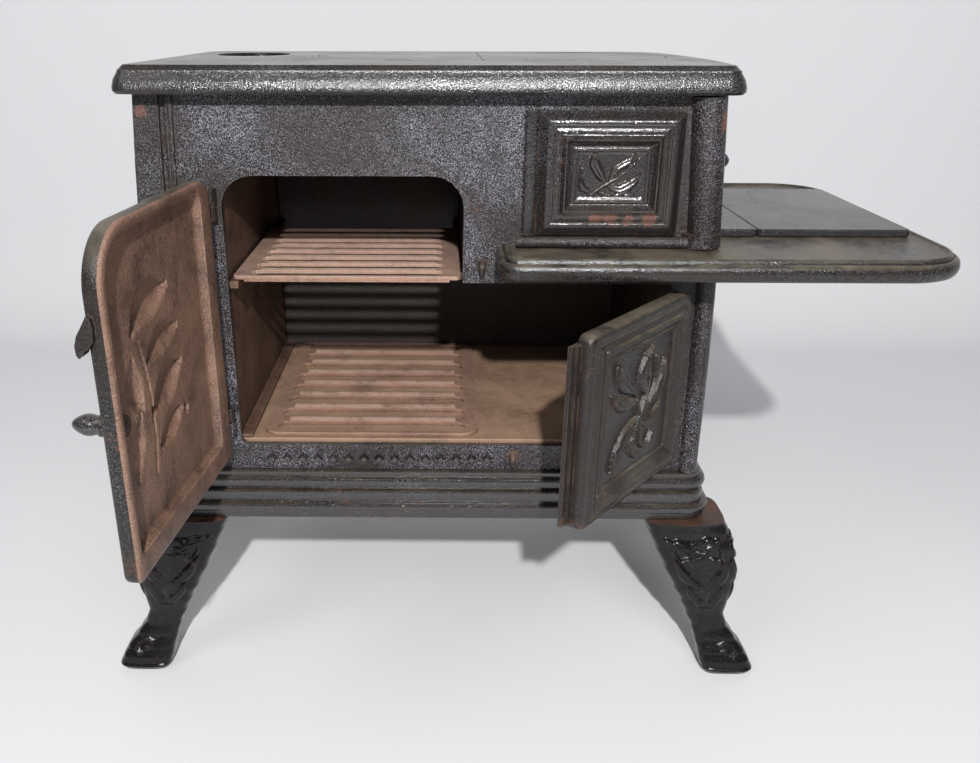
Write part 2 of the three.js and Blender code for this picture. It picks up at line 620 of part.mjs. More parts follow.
function addLids() {
  const barRight = lidBarLeft + lidBar.width;
  const far = 2 * lidHoleRadius;
  const front = lidHoleMiddle - lidHoleRadius + lifter.inset;
  const back = lidHoleMiddle + lidHoleRadius - lifter.inset;
  const pocketX = lidHoleLeft + lifter.leftIn;
  const leftPockets = [front, back].map((y) => lifterPocket(pocketX, y, lifter.length));
  const rightPockets = [lifterPocket(lidHoleRight - lifter.rightIn, back, lifter.slotLength)];
  addPiece('lid_left', lidPiece(lidHoleLeft - far, lidBarLeft - gap, leftPockets), 'topIron');
  addPiece('lid_bar', lidPiece(lidBarLeft, barRight, []), 'topIron');
  addPiece('lid_right', lidPiece(barRight + gap, lidHoleRight + far, rightPockets), 'topIron');
}

// Oven

// Round holes that let the tie rods through a plate that starts at the given height.
function rodClearance(low) {
  const radius = rod.radius + gap;
  return rodPlaces().map(([x, y]) => bar([x, y, low - overrun], [x, y, topFace], radius, smallSides));
}

function rodPlaces() {
  return [-rodX, rodX].flatMap((x) => [rod.front, rodBack].map((y) => [x, y]));
}

// A level plate inside the body between two planes of x, pierced by the rods.
function levelPlate(left, right, low, high) {
  return without(block([left, insideFront, low], [right, insideBack, high]), rodClearance(low));
}

// The left wall has a narrow foot along the oven floor.
function ovenLeftWall() {
  const low = ovenFloorTop + gap;
  const face = mouthLeft - sink;
  const plate = block([face - liner, insideFront, low], [face, ovenBack, ovenCeilingLow - gap]);
  const footTo = [face + oven.footWidth, ovenBackFace - gap, low + oven.footThick];
  return plate.add(block([face - sink, insideFront, low], footTo));
}

// The oven's back is L-shaped like its mouth.
function ovenBackWall() {
  const left = mouthLeft - sink + gap;
  const right = ovenRightFace() - gap;
  const low = ovenFloorTop + gap;
  const high = ovenCeilingLow - gap;
  const step = fireFloorLow - gap;
  const upperRight = divideLeft - gap;
  const rightPoints = [[right, low], [right, step], [upperRight, step], [upperRight, high]];
  return uprightSolid(shapeOf([[left, low], ...rightPoints, [left, high]]), ovenBackFace, ovenBack);
}

function ovenRightFace() {
  return mouthLowerRight + gap;
}

function addOven() {
  const sideX = halfWidthAt(ovenFloorTop) - wall - gap;
  const topSideX = halfWidthAt(ovenCeilingLow + liner) - wall - gap;
  const rightFace = ovenRightFace();
  const rightLow = [rightFace, insideFront, ovenFloorTop + gap];
  const ceiling = levelPlate(-topSideX, divideLeft - gap, ovenCeilingLow, ovenCeilingLow + liner);
  addPiece('oven_floor', levelPlate(-sideX, sideX, ovenFloorLow, ovenFloorTop), 'rustyIron');
  addPiece('oven_left_wall', ovenLeftWall(), 'rustyIron');
  addPiece('oven_right_wall', block(rightLow, [rightFace + liner, ovenBack, fireFloorLow - gap]), 'ovenIron');
  addPiece('oven_back_wall', ovenBackWall(), 'ovenIron');
  addPiece('oven_ceiling', ceiling, 'ovenIron');
}

// A thin plate with long slots between rounded bars, as used for the oven's tray and its shelf.
function slottedPlate(box, low, sizes) {
  const high = low + sizes.thick;
  const pitch = (box.high - box.low) / (sizes.bars + 1);
  const slotRadius = pitch / 2 - sizes.barRadius;
  const slotLeft = box.left + sizes.slotInset + slotRadius;
  const slotRight = box.right - sizes.slotInset - slotRadius;
  const shape = new THREE.Shape(roundedPoints(box, evenRadii(sizes.corner), evenInsets(0)));
  shape.holes = Array.from({ length: sizes.bars + 1 }, (_, step) => {
    const y = box.low + pitch * (step + 1 / 2);
    return shapeOf([...arcPoints(slotLeft, y, slotRadius, quarter, half + quarter),
      ...arcPoints(slotRight, y, slotRadius, -quarter, quarter)]);
  });
  const bars = Array.from({ length: sizes.bars }, (_, step) => {
    const y = box.low + pitch * (step + 1);
    return bar([slotLeft, y, low], [slotRight, y, low], sizes.barRadius);
  });
  const under = block([box.left, box.low, low - 2 * sizes.barRadius], [box.right, box.high, low]);
  return without(joined([flatSolid(shape, low, high), ...bars]), [under]);
}

function ovenTray() {
  const left = mouthLeft + tray.side;
  const back = ovenBackFace - tray.backSpace;
  const box = { left, right: left + tray.width, low: wall + tray.front, high: back };
  return slottedPlate(box, ovenFloorTop + gap, tray);
}

function slidingShelf() {
  const left = mouthLeft + ovenShelf.side;
  const right = mouthUpperRight - ovenShelf.side;
  const back = ovenBackFace - ovenShelf.backSpace;
  const box = { left, right, low: wall + ovenShelf.front, high: back };
  const low = ovenShelfTop - ovenShelf.thick;
  const lipInset = runner.width + ovenShelf.side;
  const lipLow = [box.left + lipInset, box.low, low - ovenShelf.lipDrop];
  const lip = block(lipLow, [box.right - lipInset, box.low + ovenShelf.thick, low + sink]);
  return slottedPlate(box, low, ovenShelf).add(lip);
}

// Two level rails carry the oven shelf. The right one hangs under the edge of the firebox floor.
function addRunners() {
  const high = ovenShelfTop - ovenShelf.thick - gap;
  const low = high - runner.height;
  const back = ovenBackFace - gap;
  const leftFace = mouthLeft - sink + gap;
  const left = block([leftFace, insideFront, low], [leftFace + runner.width, back, high]);
  const rightFront = insideFront + runner.setBack;
  const rightEdge = divideLeft + runner.under;
  const right = block([divideLeft - runner.width, rightFront, low], [rightEdge, back, high]);
  const seat = block([divideLeft, rightFront, low], [rightEdge, back, fireFloorLow - gap]);
  addPiece('shelf_runner_left', left, 'ovenIron');
  addPiece('shelf_runner_right', right.add(seat), 'ovenIron');
}

// Firebox

function fireboxGrate() {
  const front = insideFront + fire.side;
  const high = grateLow + fire.grateThick;
  const pitch = (grateRight - grateLeft - 2 * fire.border) / fire.slots;
  const slotWidth = pitch * fire.slotShare;
  const slots = Array.from({ length: fire.slots }, (_, step) => {
    const left = grateLeft + fire.border + pitch * (step + 1 / 2) - slotWidth / 2;
    const from = [left, front + fire.border, grateLow - overrun];
    return block(from, [left + slotWidth, grateBack - fire.border, high + overrun]);
  });
  return without(block([grateLeft, front, grateLow], [grateRight, grateBack, high]), slots);
}

function addFirebox() {
  const sideX = halfWidthAt(fireFloorTop) - wall - gap;
  const divideFrom = [divideLeft, insideFront, fireFloorTop + gap];
  const divider = block(divideFrom, [divideRight, insideBack, ovenCeilingLow + liner]);
  const railLow = fireFloorTop + gap;
  const backRailFront = grateBack - fire.railWidth;
  const rails = { grate_rail_front: insideFront + fire.side, grate_rail_back: backRailFront };
  addPiece('firebox_floor', levelPlate(divideLeft, sideX, fireFloorLow, fireFloorTop), 'ovenIron');
  addPiece('firebox_divider', divider, 'ovenIron');
  for (const [name, front] of Object.entries(rails)) {
    const rail = block([grateLeft, front, railLow], [grateRight, front + fire.railWidth, grateLow - gap]);
    addPiece(name, rail, 'ovenIron');
  }
  addPiece('firebox_grate', fireboxGrate(), 'ovenIron');
}

// The framed panel in front of the firebox, drawn from the front and stood up.
function fireboxPanel() {
  const box = { left: panelLeft, right: panelRight, low: panelLow, high: panelHigh };
  const rings = panelShares.map(([inShare, upShare]) => ({
    points: roundedPoints(box, evenRadii(0), evenInsets(panel.frame * inShare)),
    height: panel.seat + panel.height * upShare,
  }));
  const foot = { points: rings[0].points, height: 0 };
  const field = drawnIn(box, evenInsets(panel.frame));
  const fieldHeight = panel.seat + panel.height * panelShares[panelShares.length - 1][1];
  const frame = toSolid(stackedGeometry([foot, ...rings]));
  const strip = block([box.left - panel.strip, box.low, 0], [box.left + sink, box.high, panel.stripHeight]);
  const whole = joined([frame, strip, ...sprigLeaves(field, fieldHeight, leaf.rise)]);
  return standUp(whole, -gap);
}

// Turns a solid drawn flat, its height towards the viewer, upright against the plane y = back.
function standUp(solid, back) {
  return toSolid(toGeometry(solid).rotateX(quarter).translate(0, back, 0));
}

// Doors, drawn about the hinge axis in the closed position

function doorSolid(box, radii, insets) {
  const outlineAt = (share) => {
    const drawn = Object.fromEntries(Object.entries(insets).map(([side, width]) => [side, width * share]));
    return roundedPoints(box, radii, drawn);
  };
  const evenOutline = (inset) => roundedPoints(box, radii, evenInsets(inset));
  const backRings = [
    { points: evenOutline(door.rim + door.slope), height: doorField - door.skin },
    { points: evenOutline(door.rim), height: 0 },
    { points: evenOutline(door.edge), height: 0 },
    { points: evenOutline(0), height: door.edge },
  ];
  const frontRings = doorShares.map(([inShare, upShare]) => ({
    points: outlineAt(inShare),
    height: door.depth * upShare,
  }));
  const field = drawnIn(box, insets);
  const body = toSolid(stackedGeometry([...backRings, ...frontRings]));
  const raised = joined([body, ...sprigLeaves(field, doorField, leaf.rise)]);
  return without(raised, sprigLeaves(field, doorField - door.skin, leaf.hollow));
}

// A knuckle on the hinge axis with its arm to the door, sign giving the side that the door is on.
function doorKnuckle(low, sign) {
  const high = low + hinge.height;
  const arm = sign > 0 ? [0, door.fromAxis + door.edge] : [-door.fromAxis - door.edge, 0];
  const round = bar([0, 0, low], [0, 0, high], hinge.radius);
  const armSolid = block([arm[0], -hinge.radius / 2, low], [arm[1], hinge.radius / 2, high]);
  const hole = bar([0, 0, low - overrun], [0, 0, high + overrun], hinge.pin + hinge.fit);
  return round.add(armSolid).subtract(hole);
}

function doorPivot(x, turn) {
  const pivot = new THREE.Group();
  pivot.position.set(x, hingeY, 0);
  pivot.rotation.z = THREE.MathUtils.degToRad(turn);
  stove.add(pivot);
  return pivot;
}

// Heights of a door's two knuckles and of the lugs beside them, the upper ones first.
function knuckleLows(hinges) {
  return [hinges.upper - hinge.height - hinge.play, hinges.lower];
}

function lugLows(hinges) {
  return [hinges.upper, hinges.lower - hinge.height - hinge.play];
}

// The catch of the left door: a fin on its free edge that hangs down to a rounded tip.
function latchFin() {
  const inner = leftDoorWidth - door.edge;
  const points = latchShares.map(([outShare, upShare]) => {
    return [leftDoorWidth + latch.reach * outShare, latchLow + latch.height * upShare];
  });
  const lowest = points[0][1];
  const front = doorFront - latch.front;
  const outline = shapeOf([[inner, lowest], ...points, [inner, latchHigh]]);
  return uprightSolid(outline, front, front + latch.thick);
}

// A turned knob along +Y, its foot at zero.
function turnedKnob(length) {
  const profile = knobShares.map(([alongShare, radiusShare]) => {
    return new THREE.Vector2(knob.radius * radiusShare, length * alongShare);
  });
  return new THREE.LatheGeometry([new THREE.Vector2(0, 0), ...profile], roundSides);
}

function addLeftDoor() {
  const pivot = doorPivot(hingeLeftX, -leftDoor.openAngle);
  const box = { left: door.fromAxis, right: leftDoorWidth, low: doorLow, high: leftDoorHigh };
  const radii = {
    lowLeft: door.corner,
    lowRight: door.corner,
    highRight: leftDoor.freeCorner,
    highLeft: leftDoor.hingeCorner,
  };
  const insets = { left: doorFrame.hinge, right: doorFrame.free, low: doorFrame.low, high: doorFrame.top };
  const knobX = leftDoorWidth - knob.inset;
  const boss = bar([knobX, doorBack - doorField, knobHeight], [knobX, doorFront, knobHeight], knob.radius);
  const knuckles = knuckleLows(leftHinges).map((low) => doorKnuckle(low, 1));
  const knobGeometry = turnedKnob(knob.length).rotateX(half).translate(knobX, doorFront - gap, knobHeight);
  const plate = standUp(doorSolid(box, radii, insets), doorBack);
  addPiece('left_door', joined([plate, boss, latchFin(), ...knuckles]), 'rustyIron', pivot);
  addPiece('left_door_knob', toSolid(knobGeometry), 'blackIron', pivot);
}

function addRightDoor() {
  const pivot = doorPivot(hingeRightX, rightDoor.openAngle);
  const box = { left: -rightDoorWidth, right: -door.fromAxis, low: doorLow, high: rightDoorHigh };
  const radii = {
    lowLeft: door.corner,
    lowRight: door.corner,
    highRight: rightDoor.hingeCorner,
    highLeft: rightDoor.freeCorner,
  };
  const insets = { left: doorFrame.free, right: doorFrame.hinge, low: doorFrame.low, high: doorFrame.top };
  const lipFrom = [box.left - lap.width, doorBack - lap.thick, box.low + door.corner];
  const lip = block(lipFrom, [box.left + door.rim / 2, doorBack, box.high - door.corner]);
  const knuckles = knuckleLows(rightHinges).map((low) => doorKnuckle(low, -1));
  const plate = standUp(doorSolid(box, radii, insets), doorBack);
  addPiece('right_door', joined([plate, lip, ...knuckles]), 'blackIron', pivot);
}

// Each pin goes through a lug and the knuckle beside it and ends just inside the lug.
function addHingePins() {
  const places = {
    left_door_pin_upper: [hingeLeftX, knuckleLows(leftHinges)[0]],
    left_door_pin_lower: [hingeLeftX, lugLows(leftHinges)[1]],
    right_door_pin_upper: [hingeRightX, knuckleLows(rightHinges)[0]],
    right_door_pin_lower: [hingeRightX, lugLows(rightHinges)[1]],
  };
  for (const [name, [x, low]] of Object.entries(places)) {
    const high = low + 2 * hinge.height + hinge.play;
    const pin = bar([x, hingeY, low + hinge.pinShort], [x, hingeY, high - hinge.pinShort], hinge.pin);
    addPiece(name, pin, 'boltIron');
  }
}

// A hook on the front plate that narrows downwards and holds a door's edge.
function keeperHook(fromMouth, low) {
  const x = mouthUpperRight + fromMouth;
  const high = low + keeper.height;
  const points = [[x - keeper.lowHalf, low], [x + keeper.lowHalf, low], [x + keeper.topHalf, high],
    [x - keeper.topHalf, high]];
  return uprightSolid(shapeOf(points), -keeper.out, -gap);
}

// Feed door in the right side plate, over the side shelf

const feedAxis = { x: halfWidthAt(feedDoorLow) + feedDoor.axisOut, y: feedDoorBack + feedDoor.axisBack };

function feedKnuckleLows() {
  return [feedDoorLow + feedDoor.lugIn, feedDoorHigh - feedDoor.lugIn - hinge.height];
}

function feedLugLows() {
  const [lower, upper] = feedKnuckleLows();
  return [lower - hinge.height - hinge.play, upper + hinge.height + hinge.play];
}

function feedPinHole(low) {
  const high = low + hinge.height + overrun;
  return bar([feedAxis.x, feedAxis.y, low - overrun], [feedAxis.x, feedAxis.y, high], hinge.pin + hinge.fit);
}

function feedBarrel(low, high) {
  return bar([feedAxis.x, feedAxis.y, low], [feedAxis.x, feedAxis.y, high], hinge.radius);
}

function feedLug(low) {
  const high = low + hinge.height;
  const inner = halfWidthAt(low) - sink;
  const arm = block([inner, feedAxis.y - hinge.radius, low], [feedAxis.x, feedAxis.y + hinge.radius, high]);
  return arm.add(feedBarrel(low, high)).subtract(feedPinHole(low));
}

function feedKnuckle(low) {
  const high = low + hinge.height;
  const armFrom = [feedAxis.x - feedDoor.armReach, feedDoorBack - feedDoor.lap, low];
  const arm = block(armFrom, [feedAxis.x, feedAxis.y, high]);
  return arm.add(feedBarrel(low, high)).subtract(feedPinHole(low));
}

function addFeedDoor() {
  const { front, stand, thick, knobInset } = feedDoor;
  const inner = Array.from({ length: sideSteps + 1 }, (_, step) => {
    const z = feedDoorLow + (feedDoorHigh - feedDoorLow) * step / sideSteps;
    return [halfWidthAt(z) + stand, z];
  });
  const outer = inner.map(([x, z]) => [x + thick, z]);
  const plate = uprightSolid(shapeOf([...outer, ...[...inner].reverse()]), front, feedDoorBack);
  const middle = (feedDoorLow + feedDoorHigh) / 2;
  const knobFace = halfWidthAt(feedDoorLow) + stand + thick;
  const knobY = front + knobInset;
  const bossFoot = [halfWidthAt(feedDoorHigh) + stand + sink, knobY, middle];
  const boss = bar(bossFoot, [knobFace, knobY, middle], knob.radius);
  const knobGeometry = turnedKnob(knob.feedLength).rotateZ(-quarter);
  knobGeometry.translate(knobFace + gap, knobY, middle);
  const [pinLow, pinTop] = feedLugLows();
  addPiece('feed_door', joined([plate, boss, ...feedKnuckleLows().map((z) => feedKnuckle(z))]), 'blackIron');
  addPiece('feed_door_knob', toSolid(knobGeometry), 'blackIron');
  const pinFrom = [feedAxis.x, feedAxis.y, pinLow + hinge.pinShort];
  const pinTo = [feedAxis.x, feedAxis.y, pinTop + hinge.height - hinge.pinShort];
  addPiece('feed_door_pin', bar(pinFrom, pinTo, hinge.pin), 'boltIron');
}

// Side shelf: an L round the body's right corner

// Its outline, drawn in from its free edges and run past its edges beside the body.
function shelfShape(inset, past) {
  const bodyX = shelfBodyX - past;
  const bodyY = past - gap;
  const left = shelfLeft + inset;
  const front = shelf.front + inset;
  const right = shelfRight - inset;
  const back = shelfBack - inset;
  const endRadius = shelf.endRadius - inset;
  const outerRadius = shelf.outerRadius - inset;
  return shapeOf([
    [left, bodyY],
    ...arcPoints(left + endRadius, front + endRadius, endRadius, half, half + quarter),
    ...arcPoints(right - outerRadius, front + outerRadius, outerRadius, half + quarter, full, smallSides),
    ...arcPoints(right - outerRadius, back - outerRadius, outerRadius, 0, quarter, smallSides),
    [bodyX, back],
    [bodyX, bodyY],
  ]);
}

// A band along the shelf's free edges.
function shelfBand(outset, inset, low, high, round) {
  const cutter = flatSolid(shelfShape(inset, overrun), low - overrun, high + overrun);
  return flatSolid(shelfShape(outset, 0), low, high, round).subtract(cutter);
}

function shelfBoltPlaces() {
  return [bolt.shelfFront, bodyDepth - bolt.shelfBackIn].map((y) => [y, shelfLow - bolt.shelfDrop]);
}

function shelfBoltHole([y, z]) {
  const outer = shelfBodyX + wall + overrun;
  return bar([shelfBodyX - bolt.reach - overrun, y, z], [outer, y, z], bolt.radius + gap, smallSides);
}

function addSideShelf() {
  const lipInner = shelf.lipWidth - sink;
  const stepInner = shelf.lipWidth + shelf.step;
  const flangeFrom = [shelfBodyX, shelf.flangeFront, shelfLow - shelf.flangeDrop];
  const flangeTo = [shelfBodyX + wall, bodyDepth - shelf.flangeBackIn, shelfLow + sink];
  const whole = joined([
    flatSolid(shelfShape(shelf.bead, 0), shelfLow, shelfTop),
    shelfBand(0, shelf.lipWidth, shelfLow - shelf.lipDrop, shelfTop + shelf.lipRise, shelf.bead),
    shelfBand(lipInner, stepInner, shelfTop - sink, shelfTop + shelf.lipRise / 2, 0),
    block(flangeFrom, flangeTo),
  ]);
  addPiece('side_shelf', without(whole, shelfBoltPlaces().map((place) => shelfBoltHole(place))), 'shelfIron');
}

function addShelfPlates() {
  const low = shelfTop + gap;
  const high = low + shelfPlate.thick;
  const plate = (left, right) => {
    const box = { left, right, low: shelfPlate.front, high: bodyDepth - shelfPlate.backIn };
    const shape = new THREE.Shape(roundedPoints(box, evenRadii(shelfPlate.corner), evenInsets(0)));
    return flatSolid(shape, low, high, shelfPlate.round);
  };
  addPiece('shelf_plate_inner', plate(shelfBodyX + gap, shelfSeam), 'shelfIron');
  addPiece('shelf_plate_outer', plate(shelfSeam + gap, shelfRight - shelfPlate.side), 'shelfIron');
}

// Legs

// Which way each leg stands out, and where its bolt is.
function legPlaces() {
  return [
    { name: 'leg_front_left', signX: -1, signY: -1, boltY: leg.boltY },
    { name: 'leg_front_right', signX: 1, signY: -1, boltY: leg.boltY },
    { name: 'leg_back_left', signX: -1, signY: 1, boltY: bodyDepth - leg.boltY },
    { name: 'leg_back_right', signX: 1, signY: 1, boltY: bodyDepth - leg.boltY },
  ];
}

// The middle and the half sizes of a leg at a section, for the corner of the body that it carries.
function legSection(section, { signX, signY }) {
  const outX = leg.outX * section.outXShare;
  const outY = leg.outY * section.outYShare;
  return {
    x: leg.aside + signX * (bodyHalfWidth - leg.insetX + outX),
    y: signY > 0 ? bodyDepth - leg.insetY + outY : leg.insetY - outY,
    halfX: leg.halfX * section.halfXShare,
    halfY: leg.halfY * section.halfYShare,
  };
}

// A rounded square round the middle, its points going round the same way for every leg.
function legRing(section, place) {
  const { x, y, halfX, halfY } = legSection(section, place);
  return Array.from({ length: leg.points }, (_, step) => {
    const angle = full * (step + 1 / 2) / leg.points;
    const across = Math.sign(Math.cos(angle)) * Math.abs(Math.cos(angle)) ** leg.roundShare;
    const along = Math.sign(Math.sin(angle)) * Math.abs(Math.sin(angle)) ** leg.roundShare;
    return new THREE.Vector2(x + halfX * across, y + halfY * along);
  });
}

// Leaves that spread upwards on the leg's front or back face and on its outer face, lying along the face.
function legLeaves(place) {
  const sectionNear = (upShare) => legShares.find((section) => section.upShare >= upShare);
  return legLeafShares.flatMap(({ acrossShare, upShare, lengthShare, turnShare }) => {
    const above = sectionNear(upShare);
    const below = legShares[legShares.indexOf(above) - 1];
    const [high, low] = [above, below].map((section) => legSection(section, place));
    const rise = legHeight * (above.upShare - below.upShare);
    const share = (upShare - below.upShare) / (above.upShare - below.upShare);
    const at = (key) => low[key] + (high[key] - low[key]) * share;
    return [false, true].map((onSide) => {
      const [normal, normalHalf, sign] = onSide ? ['x', 'halfX', place.signX] : ['y', 'halfY', place.signY];
      const [across, acrossHalf] = onSide ? ['y', 'halfY'] : ['x', 'halfX'];
      const faceOf = (section) => section[normal] + sign * section[normalHalf];
      const geometry = new THREE.SphereGeometry(1, leaf.sides, leaf.rows);
      geometry.scale(legLeaf.width / 2, legLeaf.thick, legLeaf.length * lengthShare / 2);
      geometry.rotateY(half * turnShare);
      geometry.rotateX(-Math.atan2(faceOf(high) - faceOf(low), rise));
      if (onSide) {
        geometry.rotateZ(-quarter);
      }
      const spot = {
        [normal]: at(normal) + sign * (at(normalHalf) - legLeaf.sink),
        [across]: at(across) + acrossShare * at(acrossHalf),
      };
      return toSolid(geometry.translate(spot.x, spot.y, legHeight * upShare));
    });
  });
}

function legSolid(place) {
  const height = legHeight - gap;
  const rings = legShares.map((section) => ({
    points: legRing(section, place),
    height: height * section.upShare,
  }));
  const x = place.signX * legBoltX;
  const holeFoot = [x, place.boltY, height - leg.boltDepth - overrun];
  const hole = bar(holeFoot, [x, place.boltY, height + overrun], bolt.radius + gap, smallSides);
  return joined([toSolid(stackedGeometry(rings)), ...legLeaves(place)]).subtract(hole);
}

// Fasteners

// A round head on a shank, along an axis from the tip to the head's foot.
function boltSolid(tip, seat) {
  const axis = new THREE.Vector3(...seat).sub(new THREE.Vector3(...tip)).normalize();
  const start = new THREE.Vector3(...seat);
  const end = start.clone().addScaledVector(axis, bolt.headHeight);
  const shankEnd = start.clone().addScaledVector(axis, sink);
  const head = bar(seat, end.toArray(), bolt.head);
  return bar(tip, shankEnd.toArray(), bolt.radius, smallSides).add(head);
}

function addFasteners() {
  const rodLow = legHeight + base.floor + gap;
  rodPlaces().forEach(([x, y], place) => {
    const nut = bar([x, y, rodLow], [x, y, rodLow + rod.nutHeight], rod.nutRadius, nutSides);
    const shaft = bar([x, y, rodLow], [x, y, webLow - gap], rod.radius, smallSides);
    addPiece(`tie_rod_${place + 1}`, shaft.add(nut), 'boltIron');
  });
  for (const { name, signX, boltY } of legPlaces()) {
    const x = signX * legBoltX;
    const seat = [x, boltY, legHeight + base.floor + gap];
    const legBolt = boltSolid([x, boltY, legHeight - leg.boltDepth], seat);
    addPiece(`${name}_bolt`, legBolt, 'boltIron');
  }
  const flangeFace = shelfBodyX + wall + gap;
  shelfBoltPlaces().forEach(([y, z], place) => {
    const shelfBolt = boltSolid([shelfBodyX - bolt.reach, y, z], [flangeFace, y, z]);
    addPiece(`shelf_bolt_${place + 1}`, shelfBolt, 'boltIron');
  });
}

// The whole stove

addPiece('base', baseCasting(), 'blackIron');
addPiece('front_plate', frontPlate(), 'blackIron');
addPiece('left_side_plate', sidePlate(-1), 'blackIron');
addPiece('right_side_plate', rightSidePlate(), 'blackIron');
addPiece('back_plate', backPlate(), 'blackIron');
addPiece('top_plate', topPlate(), 'topIron');
addLids();
addPiece('firebox_panel', fireboxPanel(), 'blackIron');
addPiece('upper_keeper', keeperHook(upperKeeper.fromMouth, mouthStep + upperKeeper.rise), 'boltIron');
addPiece('lower_keeper', keeperHook(lowerKeeper.fromMouth, baseTop + lowerKeeper.rise), 'boltIron');
addOven();
addPiece('oven_tray', ovenTray(), 'rustyIron');
addPiece('oven_shelf', slidingShelf(), 'rustyIron');
addRunners();
addFirebox();
addLeftDoor();
addRightDoor();
addHingePins();
addFeedDoor();
addSideShelf();
addShelfPlates();
for (const place of legPlaces()) {
  addPiece(place.name, legSolid(place), 'legIron');
}
addFasteners();

// The finished part stands on z = 0, with the middle of its box over the origin.
const bounds = new THREE.Box3().setFromObject(stove);
const middle = bounds.getCenter(new THREE.Vector3());
stove.position.set(-middle.x, -middle.y, -bounds.min.z);
const part = new THREE.Group();
part.add(stove);

export default part;
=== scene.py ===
import json
import math

import bmesh
import bpy
import numpy as np
from mathutils import Matrix, Vector

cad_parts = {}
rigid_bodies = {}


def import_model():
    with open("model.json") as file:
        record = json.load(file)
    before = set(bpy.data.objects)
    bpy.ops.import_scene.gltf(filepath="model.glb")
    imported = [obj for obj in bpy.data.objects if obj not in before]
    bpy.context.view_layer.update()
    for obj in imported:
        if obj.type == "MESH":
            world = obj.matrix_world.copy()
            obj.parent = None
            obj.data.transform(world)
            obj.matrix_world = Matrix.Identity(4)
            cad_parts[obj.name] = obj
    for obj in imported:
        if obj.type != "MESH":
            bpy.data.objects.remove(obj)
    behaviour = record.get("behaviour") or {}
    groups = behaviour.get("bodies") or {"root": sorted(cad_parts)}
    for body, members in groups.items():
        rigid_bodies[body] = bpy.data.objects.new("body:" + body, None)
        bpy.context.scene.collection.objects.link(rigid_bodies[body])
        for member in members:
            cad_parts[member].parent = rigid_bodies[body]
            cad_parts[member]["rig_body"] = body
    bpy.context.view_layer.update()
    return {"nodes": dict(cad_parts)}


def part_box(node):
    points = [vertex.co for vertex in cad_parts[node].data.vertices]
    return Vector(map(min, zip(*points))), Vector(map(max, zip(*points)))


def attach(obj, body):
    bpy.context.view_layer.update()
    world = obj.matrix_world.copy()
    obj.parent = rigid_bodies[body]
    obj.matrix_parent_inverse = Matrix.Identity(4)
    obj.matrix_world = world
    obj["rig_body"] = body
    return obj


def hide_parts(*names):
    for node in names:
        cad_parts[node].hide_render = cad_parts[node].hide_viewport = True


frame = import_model()
mm = 0.001

# Places below are in millimetres from the foot of the front plate's middle,
# which the frame's left door pin and base give
hingeOut = 3.9


def boxMiddle(nodeName):
    low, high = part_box(nodeName)
    return (low + high) / (2 * mm)


leftPin = boxMiddle("left_door_pin_upper")
rightPin = boxMiddle("right_door_pin_upper")
drawing = Vector((boxMiddle("base").x, leftPin.y + hingeOut, 0.0))

# Finishes: the settings of each material, with colours as linear values
# paintedGlintTone and paintedGlintShare are the colour and strength of painted glints: pale specks standing
# in for grain catching the lamps
ironLooks = {
    "blackIron": {"dark": (0.005, 0.0045, 0.006), "brown": (0.015, 0.0095, 0.0085),
                  "paintedGlintTone": (0.27, 0.255, 0.29), "paintedGlintShare": 0.9, "roughness": 0.26, "grain": 0.9,
                  "rust": 0.14, "wear": 0.35, "dust": 0.3, "index": 1.45},
    "glossIron": {"dark": (0.0045, 0.004, 0.005), "brown": (0.013, 0.009, 0.008),
                  "paintedGlintTone": (0.17, 0.16, 0.17), "paintedGlintShare": 0.4, "roughness": 0.15, "grain": 0.28,
                  "rust": 0.14, "wear": 0.3, "dust": 0.22, "index": 1.75},
    "doorIron": {"dark": (0.0055, 0.005, 0.005), "brown": (0.016, 0.011, 0.009),
                 "paintedGlintTone": (0.14, 0.135, 0.135), "paintedGlintShare": 0.5, "roughness": 0.26, "grain": 0.55,
                 "rust": 0.2, "wear": 0.4, "dust": 0.65, "index": 1.45},
    # Partly a painted reflection: the top's iron is coloured a little paler than blacked iron for the bright
    # surroundings it mirrors at a grazing angle
    "topIron": {"dark": (0.009, 0.0085, 0.0095), "brown": (0.018, 0.0145, 0.013),
                "paintedGlintTone": (0.17, 0.17, 0.18), "paintedGlintShare": 0.5, "roughness": 0.2, "grain": 0.4,
                "rust": 0.08, "wear": 0.2, "dust": 0.15, "index": 1.55},
    "legIron": {"dark": (0.003, 0.0028, 0.0036), "brown": (0.006, 0.004, 0.0038),
                "paintedGlintTone": (0.06, 0.055, 0.06), "paintedGlintShare": 0.35, "roughness": 0.19, "grain": 0.22,
                "rust": 0.12, "wear": 0.15, "dust": 1.0, "index": 1.38, "dustFrom": 0.93,
                "dustTone": (0.12, 0.06, 0.038)},
    "shelfIron": {"dark": (0.0065, 0.006, 0.006), "brown": (0.016, 0.012, 0.0095),
                  "paintedGlintTone": (0.16, 0.15, 0.145), "paintedGlintShare": 0.5, "roughness": 0.2, "grain": 0.4,
                  "rust": 0.12, "wear": 0.15, "dust": 0.75, "index": 1.5},
    "boltIron": {"dark": (0.01, 0.008, 0.0075), "brown": (0.035, 0.021, 0.014),
                 "paintedGlintTone": (0.13, 0.11, 0.095), "paintedGlintShare": 0.4, "roughness": 0.35, "grain": 0.4,
                 "rust": 0.3, "wear": 0.4, "dust": 0.7, "index": 1.5},
}
